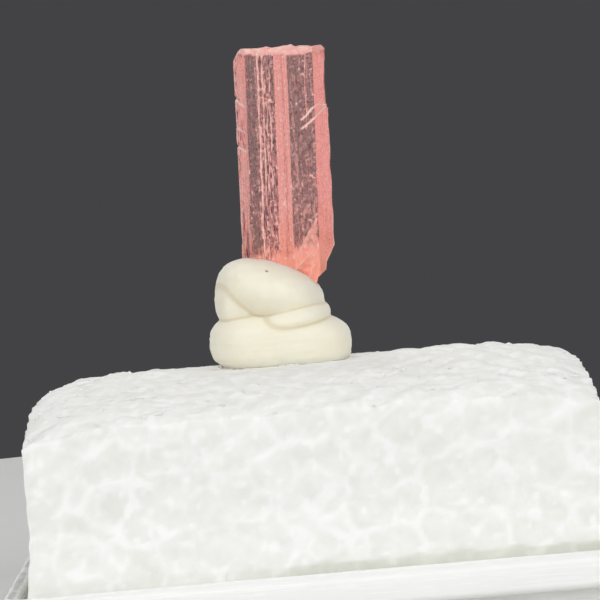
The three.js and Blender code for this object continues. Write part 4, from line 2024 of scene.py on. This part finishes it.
    def in_chip(self, points: Array, chip: Chip) -> tuple[Array, Array]:
        """Finds a chip's surface and its front edge.

        Args:
            points: points in the crystal's own millimetres.
            chip: the chip.

        Returns:
            Shares, from 0 to 1, to which each point lies on the surface and on the edge.
        """
        back = np.array(chip.turned().inverted().to_3x3())
        local = (points - np.array(chip.tip)) @ back.T
        down = np.clip(-local[:, 2] / chip.length, self.chip_least_down, 1)
        down **= self.crystal.chip_bluntness
        out = np.hypot(local[:, 0] / chip.half[0], local[:, 1] / chip.half[1]) / down
        on_cone = (local[:, 2] < 0) & (local[:, 2] > -chip.length)
        in_front = smoothstep(points[:, 1], *self.chip_edge_depth)
        edge = smoothstep(out, *self.chip_edge_inner) * smoothstep(-out, *self.chip_edge_outer)
        return on_cone * smoothstep(-out, *self.chip_inside), on_cone * in_front * edge


@dataclass(frozen=True)
class Softbox:
    """A rectangular soft light, out of the camera's sight, that faces a point on the specimen."""

    name: str
    azimuth: float  # degrees from the camera's side, positive to the right
    elevation: float
    distance: float = 300.0
    size: Pair = (220.0, 220.0)
    radiance: float = 1.0
    aim: Triple = (0.0, 0.0, 18.0)

    def build(self) -> None:
        """Adds the light."""
        azimuth, elevation = math.radians(self.azimuth), math.radians(self.elevation)
        towards = Vector((
            math.sin(azimuth) * math.cos(elevation),
            -math.cos(azimuth) * math.cos(elevation),
            math.sin(elevation),
        ))
        lamp = bpy.data.lights.new(self.name, "AREA")
        lamp.shape = "RECTANGLE"
        lamp.size, lamp.size_y = self.size[0] * MM, self.size[1] * MM
        # A rectangular lamp's radiance is its power over four times its area
        lamp.energy = 4 * self.radiance * lamp.size * lamp.size_y
        light = bpy.data.objects.new(self.name, lamp)
        light.location = (Vector(self.aim) + towards * self.distance) * MM
        light.rotation_euler = towards.to_track_quat("Z", "Y").to_euler()
        light.visible_camera = False
        bpy.context.scene.collection.objects.link(light)


@dataclass
class Studio:
    """The plain pale floor, the soft light and the camera at the photograph's viewing angle."""

    floor_radius: float = 100.0
    floor_corners: int = 160
    floor_drop: float = 0.01  # how far the floor lies below the part's foot, so that both show
    backdrop: str = "#434345"
    eye: Triple = (0.0, -200.0, 25.3)
    pitch: float = 2.86  # degrees that the camera looks down
    roll: float = 4.9  # degrees that it is turned about its own line of sight
    focal_share: float = 6.3  # focal length as a multiple of the picture's width
    lights: list[Softbox] = field(default_factory=lambda: [
        Softbox("key", -42, 40, size=(240, 240), radiance=1.75),
        Softbox("fill", 46, 32, size=(240, 240), radiance=1.58),
        Softbox("front", 0, 14, size=(260, 200), radiance=1.15),
        Softbox("top", 180, 62, size=(260, 160), radiance=1.4),
        Softbox("rim_left", -142, 8, size=(300, 300), radiance=0.52),
        Softbox("rim_right", 142, 8, size=(300, 300), radiance=0.52),
        Softbox("rim_left_core", -146, 8, size=(190, 300), radiance=0.25),
        Softbox("rim_right_core", 146, 8, size=(190, 300), radiance=0.25),
    ])

    def floor(self) -> None:
        """Adds the floor, a round matte table."""
        angles = np.linspace(0, 2 * math.pi, self.floor_corners, endpoint=False)
        points = np.column_stack((
            self.floor_radius * np.cos(angles),
            self.floor_radius * np.sin(angles),
            np.full(self.floor_corners, -self.floor_drop),
        ))
        piece = make_piece("floor", points, [range(len(points))])
        piece.data.transform(Matrix.Scale(MM, 4))
        piece.data.materials.append(PaintedTable().material())

    def camera(self) -> None:
        """Adds the camera."""
        pitch, roll = math.radians(self.pitch), math.radians(self.roll)
        ahead = Vector((0, math.cos(pitch), -math.sin(pitch)))
        level_right = Vector((1, 0, 0))
        level_up = Vector((0, math.sin(pitch), math.cos(pitch)))
        right = level_right * math.cos(roll) - level_up * math.sin(roll)
        up = level_right * math.sin(roll) + level_up * math.cos(roll)
        lens = bpy.data.cameras.new("camera")
        lens.lens = lens.sensor_width * self.focal_share
        camera = bpy.data.objects.new("camera", lens)
        turn = Matrix((right, up, -ahead)).transposed()
        camera.matrix_world = Matrix.Translation(Vector(self.eye) * MM) @ turn.to_4x4()
        bpy.context.scene.collection.objects.link(camera)
        bpy.context.scene.camera = camera

    def build(self) -> None:
        """Sets up the studio."""
        scene = bpy.context.scene
        scene.view_settings.view_transform = "Standard"
        world = bpy.data.worlds.new("backdrop")
        world.use_nodes = True
        world.node_tree.nodes["Background"].inputs["Color"].default_value = linear(self.backdrop)
        scene.world = world
        self.floor()
        self.camera()
        for light in self.lights:
            light.build()


def main() -> None:
    """Builds the specimen, from the tray up."""
    logging.basicConfig(level=logging.INFO, format="%(name)s: %(message)s")
    Studio().build()
    base = BoxBase()
    base.dress(base.build())
    foam = FoamBlock()
    foam.dress(foam.build())
    crystal = Crystal()
    putty = Putty()
    putty.dress(putty.build(crystal.core(putty.clearance)))
    crystal.dress(crystal.build())


if __name__ == "__main__":
    main()
